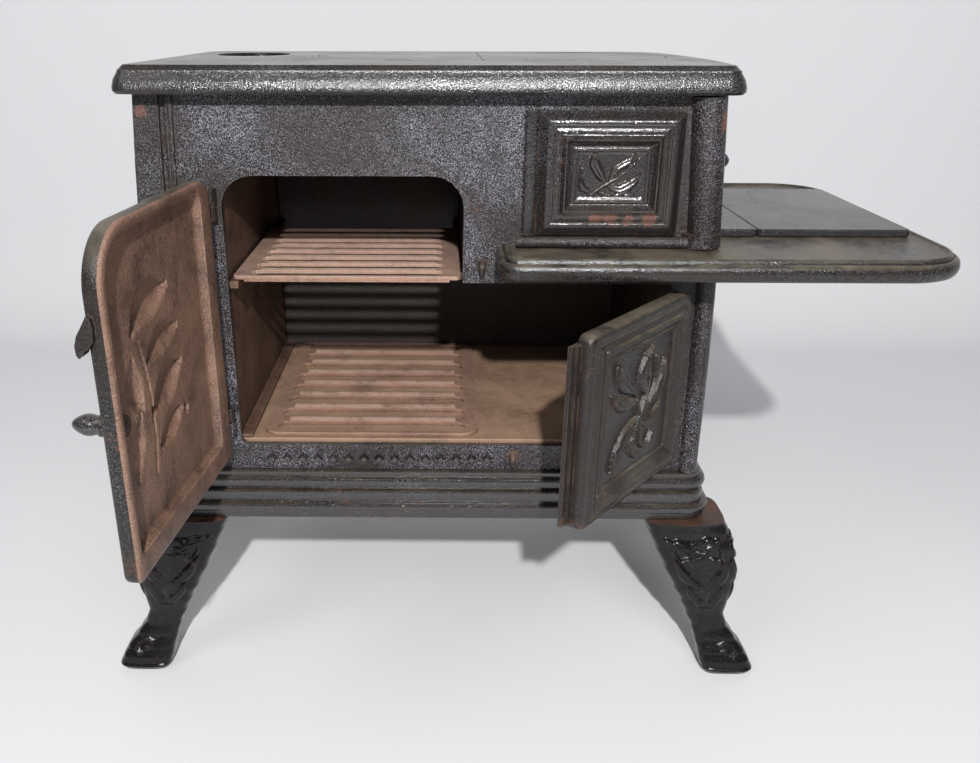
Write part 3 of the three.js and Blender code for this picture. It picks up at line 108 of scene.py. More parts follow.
rustLooks = {
    "ovenRust": {"dark": (0.03, 0.018, 0.013), "mid": (0.14, 0.075, 0.048), "light": (0.27, 0.155, 0.1),
                 "roughness": 0.55, "spread": 0.5, "bump": 0.7},
    # Painted shade: the rust deep in the oven and firebox is coloured near black for the shade that falls
    # there
    "sootRust": {"dark": (0.006, 0.005, 0.005), "mid": (0.028, 0.019, 0.015), "light": (0.09, 0.06, 0.045),
                 "roughness": 0.55, "spread": 0.4, "bump": 0.6},
    "floorRust": {"dark": (0.17, 0.1, 0.065), "mid": (0.33, 0.205, 0.135), "light": (0.42, 0.29, 0.2),
                  "roughness": 0.7, "spread": 0.5, "bump": 0.35},
    "trayRust": {"dark": (0.08, 0.04, 0.027), "mid": (0.26, 0.135, 0.085), "light": (0.42, 0.27, 0.2),
                 "roughness": 0.42, "spread": 0.5, "bump": 0.6, "ridge": "oven_tray"},
    "shelfRust": {"dark": (0.1, 0.055, 0.04), "mid": (0.3, 0.165, 0.11), "light": (0.45, 0.3, 0.23),
                  "roughness": 0.42, "spread": 0.5, "bump": 0.6, "ridge": "oven_shelf"},
    "doorRust": {"dark": (0.04, 0.025, 0.018), "mid": (0.235, 0.13, 0.088), "light": (0.43, 0.265, 0.195),
                 "roughness": 0.5, "spread": 0.5, "bump": 0.9},
}
# Where rust has broken through the black, in millimetres as drawn: middle and reach
rustStains = {
    "blackIron": [((144.0, -2.0, 315.0), 7.5), ((-139.0, -2.0, 318.0), 4.0)],
    "glossIron": [((82.0, -9.0, 268.0), 3.0), ((90.0, -9.0, 268.0), 4.0), ((99.0, -9.0, 268.0), 3.6),
                  ((109.0, -9.0, 268.0), 4.4)],
}


def newGroup(name, inputs, outputs):
    group = bpy.data.node_groups.new(name, "ShaderNodeTree")
    for socketName, value in inputs.items():
        kind = "NodeSocketVector" if isinstance(value, tuple) else "NodeSocketFloat"
        socket = group.interface.new_socket(name=socketName, in_out="INPUT", socket_type=kind)
        socket.default_value = value
    for socketName in outputs:
        group.interface.new_socket(name=socketName, in_out="OUTPUT", socket_type="NodeSocketFloat")
    return group, group.nodes.new("NodeGroupInput"), group.nodes.new("NodeGroupOutput")


def closeGroup(group, end, **values):
    for name, value in values.items():
        group.links.new(value, end.inputs[name])
    return group


def addNode(tree, kind, settings=None, inputs=None):
    node = tree.nodes.new("ShaderNode" + kind)
    for key, value in (settings or {}).items():
        setattr(node, key, value)
    for key, value in (inputs or {}).items():
        if isinstance(value, bpy.types.NodeSocket):
            tree.links.new(value, node.inputs[key])
        else:
            node.inputs[key].default_value = value
    return node


def mathNode(tree, operation, first, second, clamp=False):
    settings = {"operation": operation, "use_clamp": clamp}
    return addNode(tree, "Math", settings, {0: first, 1: second}).outputs[0]


def plus(tree, first, second, clamp=False):
    return mathNode(tree, "ADD", first, second, clamp)


def minus(tree, first, second):
    return mathNode(tree, "SUBTRACT", first, second)


def times(tree, first, second):
    return mathNode(tree, "MULTIPLY", first, second)


def rangeNode(tree, value, low, high, toLow=0.0, toHigh=1.0):
    inputs = {"Value": value, "From Min": low, "From Max": high, "To Min": toLow, "To Max": toHigh}
    return addNode(tree, "MapRange", {"clamp": True}, inputs).outputs[0]


# The second colour over the first where the mask is, at most by the given share
def mixColours(tree, mask, first, second, share=None):
    if share is not None:
        mask = times(tree, mask, share)
    node = addNode(tree, "Mix", {"data_type": "RGBA"}, {0: mask})
    for index, colour in ((6, first), (7, second)):
        if isinstance(colour, bpy.types.NodeSocket):
            tree.links.new(colour, node.inputs[index])
        else:
            node.inputs[index].default_value = (*colour, 1.0)
    return node.outputs[2]


def objectPlace(tree):
    return addNode(tree, "TexCoord").outputs["Object"]


def heightOf(tree, vector):
    return addNode(tree, "SeparateXYZ", {}, {0: vector}).outputs["Z"]


def noiseNode(tree, scale, detail, rough, distortion=0.0):
    inputs = {"Vector": objectPlace(tree), "Scale": scale, "Detail": detail, "Roughness": rough,
              "Distortion": distortion}
    return addNode(tree, "TexNoise", {}, inputs).outputs["Fac"]


def patchNode(tree, look):
    return rangeNode(tree, noiseNode(tree, *look["patches"]), *look["patchRange"])


# Sand-cast skin: pits, small lumps, a mask of fine specks (a painted glint on blacked iron, paler specks on
# rust) and a mottle. A noise is its scale, detail, roughness, distortion
skinLook = {
    "lumps": (420.0, 2.0, 0.6), "grit": (1150.0, 2.0, 0.7), "fine": (2400.0, 1.0, 0.5),
    "cloud": (16.0, 6.0, 0.66, 0.4), "lumpHeight": 0.6, "fineHeight": 0.45, "gritSpeck": 0.4,
    "fineSpeck": 0.6, "cloudSpeck": 0.25, "speckRange": (0.545, 0.6), "cloudRange": (0.36, 0.64),
}


def castSkinGroup(name):
    group, start, end = newGroup(name, {"Scale": 1.0}, ["Height", "Speckle", "Cloud"])
    look = skinLook
    layers = {}
    for layer in ("lumps", "grit", "fine"):
        scale, detail, rough = look[layer]
        layers[layer] = noiseNode(group, times(group, start.outputs["Scale"], scale), detail, rough)
    height = plus(group, times(group, layers["lumps"], look["lumpHeight"]), layers["grit"])
    height = plus(group, height, times(group, layers["fine"], look["fineHeight"]))
    cloud = noiseNode(group, *look["cloud"])
    speck = plus(group, times(group, layers["grit"], look["gritSpeck"]),
                 times(group, layers["fine"], look["fineSpeck"]))
    speck = plus(group, speck, times(group, minus(group, cloud, 0.5), look["cloudSpeck"]))
    return closeGroup(group, end, Height=height, Speckle=rangeNode(group, speck, *look["speckRange"]),
                      Cloud=rangeNode(group, cloud, *look["cloudRange"]))


# Bare or rubbed edges, found by comparing the true normal with a rounded one
edgeLook = {"samples": 4, "alike": (0.995, 0.86), "patches": (90.0, 4.0, 0.6), "patchRange": (0.35, 0.62)}


def edgeWearGroup(name):
    group, start, end = newGroup(name, {"Radius": 0.0012}, ["Mask"])
    rounded = addNode(group, "Bevel", {"samples": edgeLook["samples"]},
                      {"Radius": start.outputs["Radius"]}).outputs[0]
    true = addNode(group, "NewGeometry").outputs["Normal"]
    alike = addNode(group, "VectorMath", {"operation": "DOT_PRODUCT"}, {0: rounded, 1: true})
    edge = rangeNode(group, alike.outputs["Value"], *edgeLook["alike"])
    return closeGroup(group, end, Mask=times(group, edge, patchNode(group, edgeLook)))


# Corners and hollows, found by ambient occlusion: brown rust there on blacked iron, painted shade on rusted
# iron
creviceLook = {"samples": 4, "open": (0.75, 0.35), "patches": (60.0, 5.0, 0.65), "patchRange": (0.3, 0.6)}


def crevicesGroup(name):
    group, start, end = newGroup(name, {"Reach": 0.006}, ["Mask"])
    shade = addNode(group, "AmbientOcclusion", {"samples": creviceLook["samples"]},
                    {"Distance": start.outputs["Reach"]})
    deep = rangeNode(group, shade.outputs["AO"], *creviceLook["open"])
    return closeGroup(group, end, Mask=times(group, deep, patchNode(group, creviceLook)))


# Dust on surfaces that look up
dustLook = {"level": 0.97, "patches": (34.0, 6.0, 0.7, 0.4), "patchRange": (0.36, 0.66)}


def settledDustGroup(name):
    group, start, end = newGroup(name, {"Amount": 0.3, "From": 0.35}, ["Mask"])
    up = heightOf(group, addNode(group, "NewGeometry").outputs["Normal"])
    facing = rangeNode(group, up, start.outputs["From"], dustLook["level"])
    thick = times(group, facing, patchNode(group, dustLook))
    return closeGroup(group, end, Mask=times(group, thick, start.outputs["Amount"]))


# Rust in drifting patches with a speckled edge, and a mottle for its tone
patchLook = {"drift": (7.0, 0.68, 0.6), "speck": (430.0, 3.0, 0.6), "speckShare": 0.35, "edge": 0.74,
             "cover": 0.5, "soft": 0.045, "patches": (150.0, 5.0, 0.7), "patchRange": (0.3, 0.7)}


def rustPatchGroup(name):
    group, start, end = newGroup(name, {"Coverage": 0.3, "Scale": 22.0}, ["Mask", "Tone"])
    drift = noiseNode(group, start.outputs["Scale"], *patchLook["drift"])
    speck = minus(group, noiseNode(group, *patchLook["speck"]), 0.5)
    mixed = plus(group, drift, times(group, speck, patchLook["speckShare"]))
    edge = minus(group, patchLook["edge"], times(group, start.outputs["Coverage"], patchLook["cover"]))
    low, high = minus(group, edge, patchLook["soft"]), plus(group, edge, patchLook["soft"])
    return closeGroup(group, end, Mask=rangeNode(group, mixed, low, high), Tone=patchNode(group, patchLook))


# Rust that has broken through in one place
stainLook = {"ragged": (160.0, 7.0, 0.72), "raggedShare": 2.6, "edge": (1.0, 0.75)}


def rustStainGroup(name):
    group, start, end = newGroup(name, {"Middle": (0.0, 0.0, 0.0), "Reach": 0.01}, ["Mask"])
    away = addNode(group, "VectorMath", {"operation": "DISTANCE"},
                   {0: objectPlace(group), 1: start.outputs["Middle"]})
    near = mathNode(group, "DIVIDE", away.outputs["Value"], start.outputs["Reach"])
    ragged = minus(group, noiseNode(group, *stainLook["ragged"]), 0.5)
    near = plus(group, near, times(group, ragged, stainLook["raggedShare"]))
    return closeGroup(group, end, Mask=rangeNode(group, near, *stainLook["edge"]))


# Ridges paler along their tops: partly rubbed wear, partly a painted highlight
ridgeLook = {"depth": 2.6, "tone": (0.4, 0.275, 0.225), "skinRange": (0.3, 0.7, 0.15, 0.85),
             "patches": (120.0, 6.0, 0.7), "patchRange": (0.32, 0.56, 0.25, 1.0)}


def wornAndLitTopsGroup(name):
    group, start, end = newGroup(name, {"Top": 0.2, "Depth": 0.001}, ["Mask"])
    under = minus(group, start.outputs["Top"], heightOf(group, objectPlace(group)))
    near = mathNode(group, "DIVIDE", under, start.outputs["Depth"])
    return closeGroup(group, end, Mask=times(group, rangeNode(group, near, 1.0, 0.0),
                                             patchNode(group, ridgeLook)))


groups = {}
for groupName, makeGroup in (("castSkin", castSkinGroup), ("edgeWear", edgeWearGroup),
                             ("crevices", crevicesGroup), ("settledDust", settledDustGroup),
                             ("rustPatch", rustPatchGroup), ("rustStain", rustStainGroup),
                             ("wornAndLitTops", wornAndLitTopsGroup)):
    groups[groupName] = makeGroup(groupName)


def useGroup(tree, name, **values):
    node = addNode(tree, "Group", {"node_tree": groups[name]})
    for key, value in values.items():
        node.inputs[key].default_value = value
    return node.outputs


def startMaterial(name):
    material = bpy.data.materials.new(name)
    material.use_nodes = True
    tree = material.node_tree
    return material, tree, tree.nodes["Principled BSDF"]


def castMasks(tree, shares, coverage):
    skin = useGroup(tree, "castSkin", Scale=shares["skinScale"])
    rust = useGroup(tree, "rustPatch", Coverage=coverage, Scale=shares["rustScale"])
    wear = useGroup(tree, "edgeWear", Radius=shares["edgeRadius"])["Mask"]
    creviceRustAndShade = useGroup(tree, "crevices", Reach=shares["creviceReach"])["Mask"]
    return skin, rust, wear, creviceRustAndShade


def linkLook(tree, shader, tone, rough, bump):
    tree.links.new(tone, shader.inputs["Base Color"])
    tree.links.new(rough, shader.inputs["Roughness"])
    tree.links.new(addNode(tree, "Bump", {}, bump).outputs[0], shader.inputs["Normal"])


# Blacked iron: how much each effect shows over the look's own colours
ironShares = {
    "skinScale": 1.0, "rustScale": 26.0, "edgeRadius": 0.0012, "creviceReach": 0.005, "dustFrom": 0.35,
    "paintedGlint": (0.45, 1.0), "creviceRustAndShade": 0.35, "rust": 0.75, "stain": 0.6, "roughSpread": 0.06,
    "rustRough": 0.3, "dustRough": 0.4, "pitDepth": 0.0005, "rustDark": (0.04, 0.02, 0.013),
    "rustLight": (0.17, 0.08, 0.046), "edgeTone": (0.16, 0.11, 0.08), "dustTone": (0.2, 0.165, 0.12),
    "stainTone": (0.17, 0.07, 0.045),
}


def ironMaterial(name, look):
    material, tree, shader = startMaterial(name)
    shares = ironShares
    skin, rust, wear, creviceRustAndShade = castMasks(tree, shares, look["rust"])
    dust = useGroup(tree, "settledDust", Amount=look["dust"],
                    From=look.get("dustFrom", shares["dustFrom"]))["Mask"]
    # Painted glints: pale specks mixed into the colour stand in for the grain catching the lamps
    paintedGlint = times(tree, skin["Speckle"], rangeNode(tree, skin["Cloud"], 0.0, 1.0, *shares["paintedGlint"]))
    tone = mixColours(tree, skin["Cloud"], look["brown"], look["dark"])
    tone = mixColours(tree, paintedGlint, tone, look["paintedGlintTone"], look["paintedGlintShare"])
    tone = mixColours(tree, creviceRustAndShade, tone, shares["rustDark"], shares["creviceRustAndShade"])
    rusty = mixColours(tree, rust["Tone"], shares["rustDark"], shares["rustLight"])
    tone = mixColours(tree, rust["Mask"], tone, rusty, shares["rust"])
    tone = mixColours(tree, dust, tone, look.get("dustTone", shares["dustTone"]))
    for middle, reach in rustStains.get(name, []):
        stain = useGroup(tree, "rustStain", Middle=(Vector(middle) + drawing) * mm, Reach=reach * mm)
        tone = mixColours(tree, stain["Mask"], tone, shares["stainTone"], shares["stain"])
    tone = mixColours(tree, wear, tone, shares["edgeTone"], look["wear"])
    spread = shares["roughSpread"]
    rough = rangeNode(tree, skin["Cloud"], 0.0, 1.0, look["roughness"] + spread, look["roughness"] - spread)
    rough = plus(tree, rough, times(tree, rust["Mask"], shares["rustRough"]))
    rough = plus(tree, rough, times(tree, dust, shares["dustRough"]), clamp=True)
    shader.inputs["IOR"].default_value = look["index"]
    linkLook(tree, shader, tone, rough,
             {"Strength": look["grain"], "Distance": shares["pitDepth"], "Height": skin["Height"]})
    return material


# Rusted iron, the same way
rustShares = {
    "skinScale": 0.8, "rustScale": 18.0, "edgeRadius": 0.0015, "creviceReach": 0.008,
    "patches": (34.0, 8.0, 0.72, 0.3), "patchRange": (0.32, 0.68), "rust": 0.5, "speckle": 0.4,
    "wear": 0.8, "creviceRustAndShade": 0.7, "roughSpread": 0.12, "pitDepth": 0.0007,
}


def rustMaterial(name, look):
    material, tree, shader = startMaterial(name)
    shares = rustShares
    skin, rust, wear, creviceRustAndShade = castMasks(tree, shares, look["spread"])
    cloud = patchNode(tree, shares)
    tone = mixColours(tree, cloud, look["dark"], look["mid"])
    tone = mixColours(tree, rust["Mask"], tone, look["mid"], shares["rust"])
    tone = mixColours(tree, skin["Speckle"], tone, look["light"], shares["speckle"])
    tone = mixColours(tree, wear, tone, look["light"], shares["wear"])
    # Painted shade: the rusted iron darkens in corners and hollows, by ambient occlusion
    tone = mixColours(tree, creviceRustAndShade, tone, look["dark"], shares["creviceRustAndShade"])
    # Painted highlight with real wear: the tops of the tray's and shelf's ribs are coloured paler
    if "ridge" in look:
        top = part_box(look["ridge"])[1].z
        wornAndLitTop = useGroup(tree, "wornAndLitTops", Top=top, Depth=ridgeLook["depth"] * mm)["Mask"]
        wornAndLitTop = times(tree, wornAndLitTop, rangeNode(tree, skin["Height"], *ridgeLook["skinRange"]))
        tone = mixColours(tree, wornAndLitTop, tone, ridgeLook["tone"])
    spread = shares["roughSpread"]
    rough = rangeNode(tree, cloud, 0.0, 1.0, look["roughness"] - spread, look["roughness"] + spread)
    linkLook(tree, shader, tone, rough,
             {"Strength": look["bump"], "Distance": shares["pitDepth"], "Height": skin["Height"]})
    return material


finishes = {name: ironMaterial(name, look) for name, look in ironLooks.items()}
finishes.update({name: rustMaterial(name, look) for name, look in rustLooks.items()})
print("finishes ready")

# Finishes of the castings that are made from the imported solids
castingFinishes = {
    "topIron": ("top_plate", "lid_left", "lid_bar", "lid_right", "shelf_plate_inner", "shelf_plate_outer"),
    "glossIron": ("base",),
    "floorRust": ("oven_floor",),
    "trayRust": ("oven_tray",),
    "shelfRust": ("oven_shelf",),
    "ovenRust": ("oven_left_wall", "shelf_runner_left", "shelf_runner_right"),
    # these walls and the firebox get the rust with painted shade
    "sootRust": ("oven_right_wall", "oven_back_wall", "oven_ceiling", "firebox_floor", "firebox_divider",
                 "firebox_grate", "grate_rail_front", "grate_rail_back"),
}
nodeFinish = {node: finish for finish, nodes in castingFinishes.items() for node in nodes}


def finishFor(name):
    if name in nodeFinish:
        return nodeFinish[name]
    if "pin" in name or "bolt" in name or "rod" in name:
        return "boltIron"
    return "blackIron"


def newObject(name, data):
    item = bpy.data.objects.new(name, data)
    bpy.context.scene.collection.objects.link(item)
    return item


def smoothPiece(name, mesh, finishNames, angle):
    for polygon in mesh.polygons:
        polygon.use_smooth = True
    mesh.set_sharp_from_angle(angle=math.radians(angle))
    for finishName in finishNames:
        mesh.materials.append(finishes[finishName])
    return newObject(name, mesh)


# A casting made from an imported solid: its points merged, edges rounded and shaded smooth
castShape = {"merge": 2e-6, "sharpFrom": 50, "bevel": 0.5, "segments": 2, "bevelFrom": 32}


def castCopy(nodeName):
    source = frame["nodes"][nodeName]
    work = bmesh.new()
    work.from_mesh(source.data)
    bmesh.ops.remove_doubles(work, verts=work.verts, dist=castShape["merge"])
    mesh = bpy.data.meshes.new(nodeName + "_cast")
    work.to_mesh(mesh)
    work.free()
    piece = smoothPiece(nodeName + "_cast", mesh, [finishFor(nodeName)], castShape["sharpFrom"])
    rounding = piece.modifiers.new("rounded", "BEVEL")
    rounding.width = castShape["bevel"] * mm
    rounding.segments = castShape["segments"]
    rounding.limit_method = "ANGLE"
    rounding.angle_limit = math.radians(castShape["bevelFrom"])
    rounding.miter_outer = "MITER_ARC"
    evened = piece.modifiers.new("evened", "WEIGHTED_NORMAL")
    evened.keep_sharp = True
    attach(piece, source["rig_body"])
    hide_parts(nodeName)


modelled = set()


# A piece from points as drawn, in place of a node or, without one, over the front plate
def addMesh(name, shape, finishNames, node, sharpFrom, body="root", turn=None):
    place = (turn or Matrix.Identity(4)).copy()
    place.translation += drawing
    points, faces = shape
    mesh = bpy.data.meshes.new(name)
    mesh.from_pydata([(place @ Vector(point)) * mm for point in points], [], faces)
    mesh.update()
    work = bmesh.new()
    work.from_mesh(mesh)
    bmesh.ops.recalc_face_normals(work, faces=work.faces)
    work.to_mesh(mesh)
    work.free()
    piece = smoothPiece(name, mesh, finishNames, sharpFrom)
    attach(piece, body)
    if node:
        modelled.add(node)
        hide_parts(node)
    return piece


# A smooth line through a few points
def smoothLine(points, steps=8):
    points = [np.array(point, float) for point in points]
    ends = [2 * points[0] - points[1], *points, 2 * points[-1] - points[-2]]
    line = []
    for before, start, stop, after in zip(ends, ends[1:], ends[2:], ends[3:]):
        for step in range(steps):
            t = step / steps
            line.append(0.5 * (2 * start + (stop - before) * t
                               + (2 * before - 5 * start + 4 * stop - after) * t * t
                               + (3 * start - before - 3 * stop + after) * t ** 3))
    return np.array([*line, points[-1]])


# Half widths along a stroke and its section: pointed leaves with a vein, plump pods, tapering stems
strokeShape = {"leafLobe": 0.07, "lobeShift": 0.6, "leafEnd": 0.02, "leafPower": 0.7, "podEnd": 0.03,
               "podPower": 0.6, "podDome": 1.2, "podHeel": 0.35, "stemTaper": 0.4, "vein": 0.3,
               "veinWidth": 0.45, "least": 0.05}


# Height of modelled leaves, pods and stems over a plane. A stroke is "pod", "stem" or the lobes of a leaf,
# then its width, its rise and its line
def reliefHeight(across, up, strokes):
    height = np.zeros_like(across)
    shape = strokeShape
    for kind, width, rise, course in strokes:
        line = smoothLine(course)
        lengths = np.concatenate([[0], np.cumsum(np.linalg.norm(np.diff(line, axis=0), axis=1))])
        total = lengths[-1]
        nearest = np.full(across.shape, 1e9)
        along = np.zeros_like(across)
        sideways = np.zeros_like(across)
        for (x0, y0), (x1, y1), start in zip(line, line[1:], lengths):
            dx, dy = x1 - x0, y1 - y0
            size = math.hypot(dx, dy) or 1e-6
            t = np.clip(((across - x0) * dx + (up - y0) * dy) / size ** 2, 0, 1)
            offX, offY = across - x0 - t * dx, up - y0 - t * dy
            distance = np.hypot(offX, offY)
            closer = distance < nearest
            nearest = np.where(closer, distance, nearest)
            along = np.where(closer, (start + t * size) / total, along)
            sideways = np.where(closer, np.sign(dx * offY - dy * offX), sideways)
        leaf, reach = kind not in ("pod", "stem"), width / 2
        if leaf:
            wave = 2 * math.pi * kind * along + shape["lobeShift"] * sideways
            inside = np.clip(along, shape["leafEnd"], 1 - shape["leafEnd"])
            reach = reach * np.sin(math.pi * inside) ** shape["leafPower"]
            reach = reach * (1 + shape["leafLobe"] * np.cos(wave))
        elif kind == "pod":
            inside = np.clip(along, shape["podEnd"], 1 - shape["podEnd"])
            reach = reach * np.sin(math.pi * inside) ** shape["podPower"]
        else:
            reach = reach * (1 - shape["stemTaper"] * along)
        share = np.clip(nearest / np.maximum(reach, shape["least"]), 0, 1)
        if kind == "pod":
            dome = np.clip(1 - share ** 2, 0, 1) ** shape["podDome"]
            dome = dome * (1 + shape["podHeel"] * sideways * share)
        else:
            dome = (1 - share ** 2) ** 0.5
        if leaf:
            dome = dome * (1 - shape["vein"] * np.exp(-(nearest / shape["veinWidth"]) ** 2))
        height = np.maximum(height, rise * dome)
    return height


# Points round a rectangle with rounded corners, each side ending half way round its corners
def sidePoints(box, radii, counts):
    left, right, low, high = box
    corners = [(left + radii[0], low + radii[0]), (right - radii[1], low + radii[1]),
               (right - radii[2], high - radii[2]), (left + radii[3], high - radii[3])]
    sides = []
    for side in range(4):
        after = (side + 1) % 4
        start, first, last = math.radians(225 + 90 * side), radii[side], radii[after]
        bend = math.pi / 4
        straight = math.dist(corners[side], corners[after])
        total = bend * first + straight + bend * last
        points = []
        for step in range(counts[side % 2] + 1):
            travel = total * step / counts[side % 2]
            if travel < bend * first:
                angle = start + travel / first
                centre, radius = corners[side], first
            elif travel > total - bend * last:
                angle = start + bend + (travel - total + bend * last) / last
                centre, radius = corners[after], last
            else:
                share = (travel - bend * first) / straight
                angle = start + bend
                centre = [a + (b - a) * share for a, b in zip(corners[side], corners[after])]
                radius = first + (last - first) * share
            points.append((centre[0] + radius * math.cos(angle), centre[1] + radius * math.sin(angle)))
        sides.append(points)
    return sides


# Walls between rings of points, one ring after the other
def wallFaces(rings, sides):
    faces = []
    for ring in range(rings - 1):
        for side in range(sides):
            a, b = ring * sides + side, ring * sides + (side + 1) % sides
            faces.append((a, b, b + sides, a + sides))
    return faces


# The same with the two end faces
def tubeFaces(rings, sides):
    return [*wallFaces(rings, sides), tuple(range(sides)), tuple(range((rings - 1) * sides, rings * sides))]


leastRadius, fadeRows = 0.3, 3


# One face of a framed plate: rings of moulding from its outline in to the field, then the field itself,
# whose relief fades out over its outer rows
def framedFace(outline, face, counts):
    left, right, low, high = outline
    stages, relief, rings = face["stages"], face["relief"], []
    for stage, height in face["rows"]:
        index = min(int(stage), len(stages) - 2)
        share = stage - index
        (outerInsets, outerRadii), (innerInsets, innerRadii) = stages[index:index + 2]
        insets = [a + (b - a) * share for a, b in zip(outerInsets, innerInsets)]
        radii = [max(a + (b - a) * share, leastRadius) for a, b in zip(outerRadii, innerRadii)]
        box = (left + insets[0], right - insets[1], low + insets[2], high - insets[3])
        rings.append((sidePoints(box, radii, counts), height))
    points = [(x, height, z) for sides, height in rings for side in sides for x, z in side[:-1]]
    ringLength = 2 * (counts[0] + counts[1])
    faces = wallFaces(len(rings), ringLength)
    bottom, rightSide, top, leftSide = [np.array(side) for side in rings[-1][0]]
    top, leftSide = top[::-1], leftSide[::-1]
    acrossShare = np.linspace(0, 1, counts[0] + 1)[:, None]
    upShare = np.linspace(0, 1, counts[1] + 1)[None, :]
    field = np.zeros((counts[0] + 1, counts[1] + 1, 2))
    for axis in range(2):
        ruled = ((1 - upShare) * bottom[:, axis][:, None] + upShare * top[:, axis][:, None]
                 + (1 - acrossShare) * leftSide[:, axis][None, :] + acrossShare * rightSide[:, axis][None, :])
        corners = ((1 - acrossShare) * ((1 - upShare) * bottom[0, axis] + upShare * top[0, axis])
                   + acrossShare * ((1 - upShare) * bottom[-1, axis] + upShare * top[-1, axis]))
        field[:, :, axis] = ruled - corners
    fade = np.minimum(np.minimum(acrossShare, 1 - acrossShare) * counts[0],
                      np.minimum(upShare, 1 - upShare) * counts[1])
    heights = rings[-1][1] + relief(field[:, :, 0], field[:, :, 1]) * np.clip(fade / fadeRows, 0, 1)
    last = (len(rings) - 1) * ringLength
    index = np.zeros((counts[0] + 1, counts[1] + 1), int)
    acrossSteps, upSteps = np.arange(counts[0] + 1), np.arange(counts[1] + 1)
    index[:, 0] = last + acrossSteps
    index[-1, :] = last + counts[0] + upSteps
    index[:, -1] = last + 2 * counts[0] + counts[1] - acrossSteps
    index[0, 1:] = last + ringLength - upSteps[1:]
    for i in range(1, counts[0]):
        for j in range(1, counts[1]):
            index[i, j] = len(points)
            points.append((field[i, j, 0], heights[i, j], field[i, j, 1]))
    for i in range(counts[0]):
        for j in range(counts[1]):
            faces.append((index[i, j], index[i + 1, j], index[i + 1, j + 1], index[i, j + 1]))
    return points, faces, ringLength


# A closed plate between a front face and a back face with equal outlines; heights count along +Y
def framedPlate(outline, front, back, counts):
    frontPoints, frontFaces, ringLength = framedFace(outline, front, counts)
    backPoints, backFaces, ringLength = framedFace(outline, back, counts)
    shift = len(frontPoints)
    faces = frontFaces + [tuple(point + shift for point in face) for face in backFaces]
    for step in range(ringLength):
        after = (step + 1) % ringLength
        faces.append((step, after, after + shift, step + shift))
    sides = [1] * len(frontFaces) + [0] * len(backFaces) + [1] * ringLength
    return frontPoints + backPoints, faces, sides


# A round bar or a turned piece along an axis, from (distance, radius) pairs
def turnedPiece(profile, start, axis, sides=32):
    axis = Vector(axis).normalized()
    first = axis.orthogonal().normalized()
    second = axis.cross(first)
    points = []
    for distance, radius in profile:
        centre = Vector(start) + axis * distance
        for side in range(sides):
            angle = 2 * math.pi * side / sides
            points.append(centre + (first * math.cos(angle) + second * math.sin(angle)) * radius)
    return points, tubeFaces(len(profile), sides)


def blockPiece(low, high):
    points = [(x, y, z) for x in (low[0], high[0]) for y in (low[1], high[1]) for z in (low[2], high[2])]
    faces = [(0, 1, 3, 2), (4, 6, 7, 5), (0, 4, 5, 1), (2, 3, 7, 6), (0, 2, 6, 4), (1, 5, 7, 3)]
    return points, faces


def joinParts(parts):
    points, faces = [], []
    for partPoints, partFaces in parts:
        shift = len(points)
        points.extend(partPoints)
        faces.extend([tuple(point + shift for point in face) for face in partFaces])
    return points, faces


# Left door: its inner side is dished and shows the hollows of the sprig on its outer side.
# Insets and radii of a stage run left, right, low, high and round the corners from the lower left
doorBack = hingeOut - 0.8
leftDoor = {
    "outline": (5.0, 130.0, 136.8, 288.0), "open": -95.5, "counts": (120, 150), "knuckles": (265.1, 155.0),
    "sharpFrom": 38, "hollowDepth": 0.9, "finishes": ("doorRust", "doorIron"),
    "front": [((0, 0, 0, 0), (4, 4, 25, 14)),
              ((10, 14.5, 7.5, 10.3), (2, 2, 15, 5)),
              ((15.5, 22, 15.5, 17.5), (1, 1, 9, 2))],
    "back": [((0, 0, 0, 0), (4, 4, 25, 14)),
             ((14, 4.5, 12.5, 3.5), (3, 3, 22, 7)),
             ((18.5, 12, 15.5, 7.5), (3, 4, 18, 6))],
    "sprig": [
        ("stem", 3.0, 1.0, [(93, 172), (90, 190), (91, 215), (97, 236)]),
        ("pod", 19, 3.6, [(101, 240), (93, 246), (80, 249), (62, 250)]),
        ("pod", 15, 2.8, [(89, 223), (80, 227), (69, 229), (55, 229)]),
        ("pod", 20, 3.6, [(88, 200), (78, 204), (68, 208), (55, 211)]),
        ("pod", 16, 3.0, [(85, 181), (77, 184), (69, 187), (59, 189)]),
        ("pod", 16, 3.2, [(99, 206), (103, 212), (105, 220), (104, 228)]),
        ("pod", 12, 2.4, [(112, 178), (109, 187), (105, 196), (102, 204)]),
        ("pod", 8, 2.6, [(51.0, 186.5), (55.5, 186)]),
    ],
}
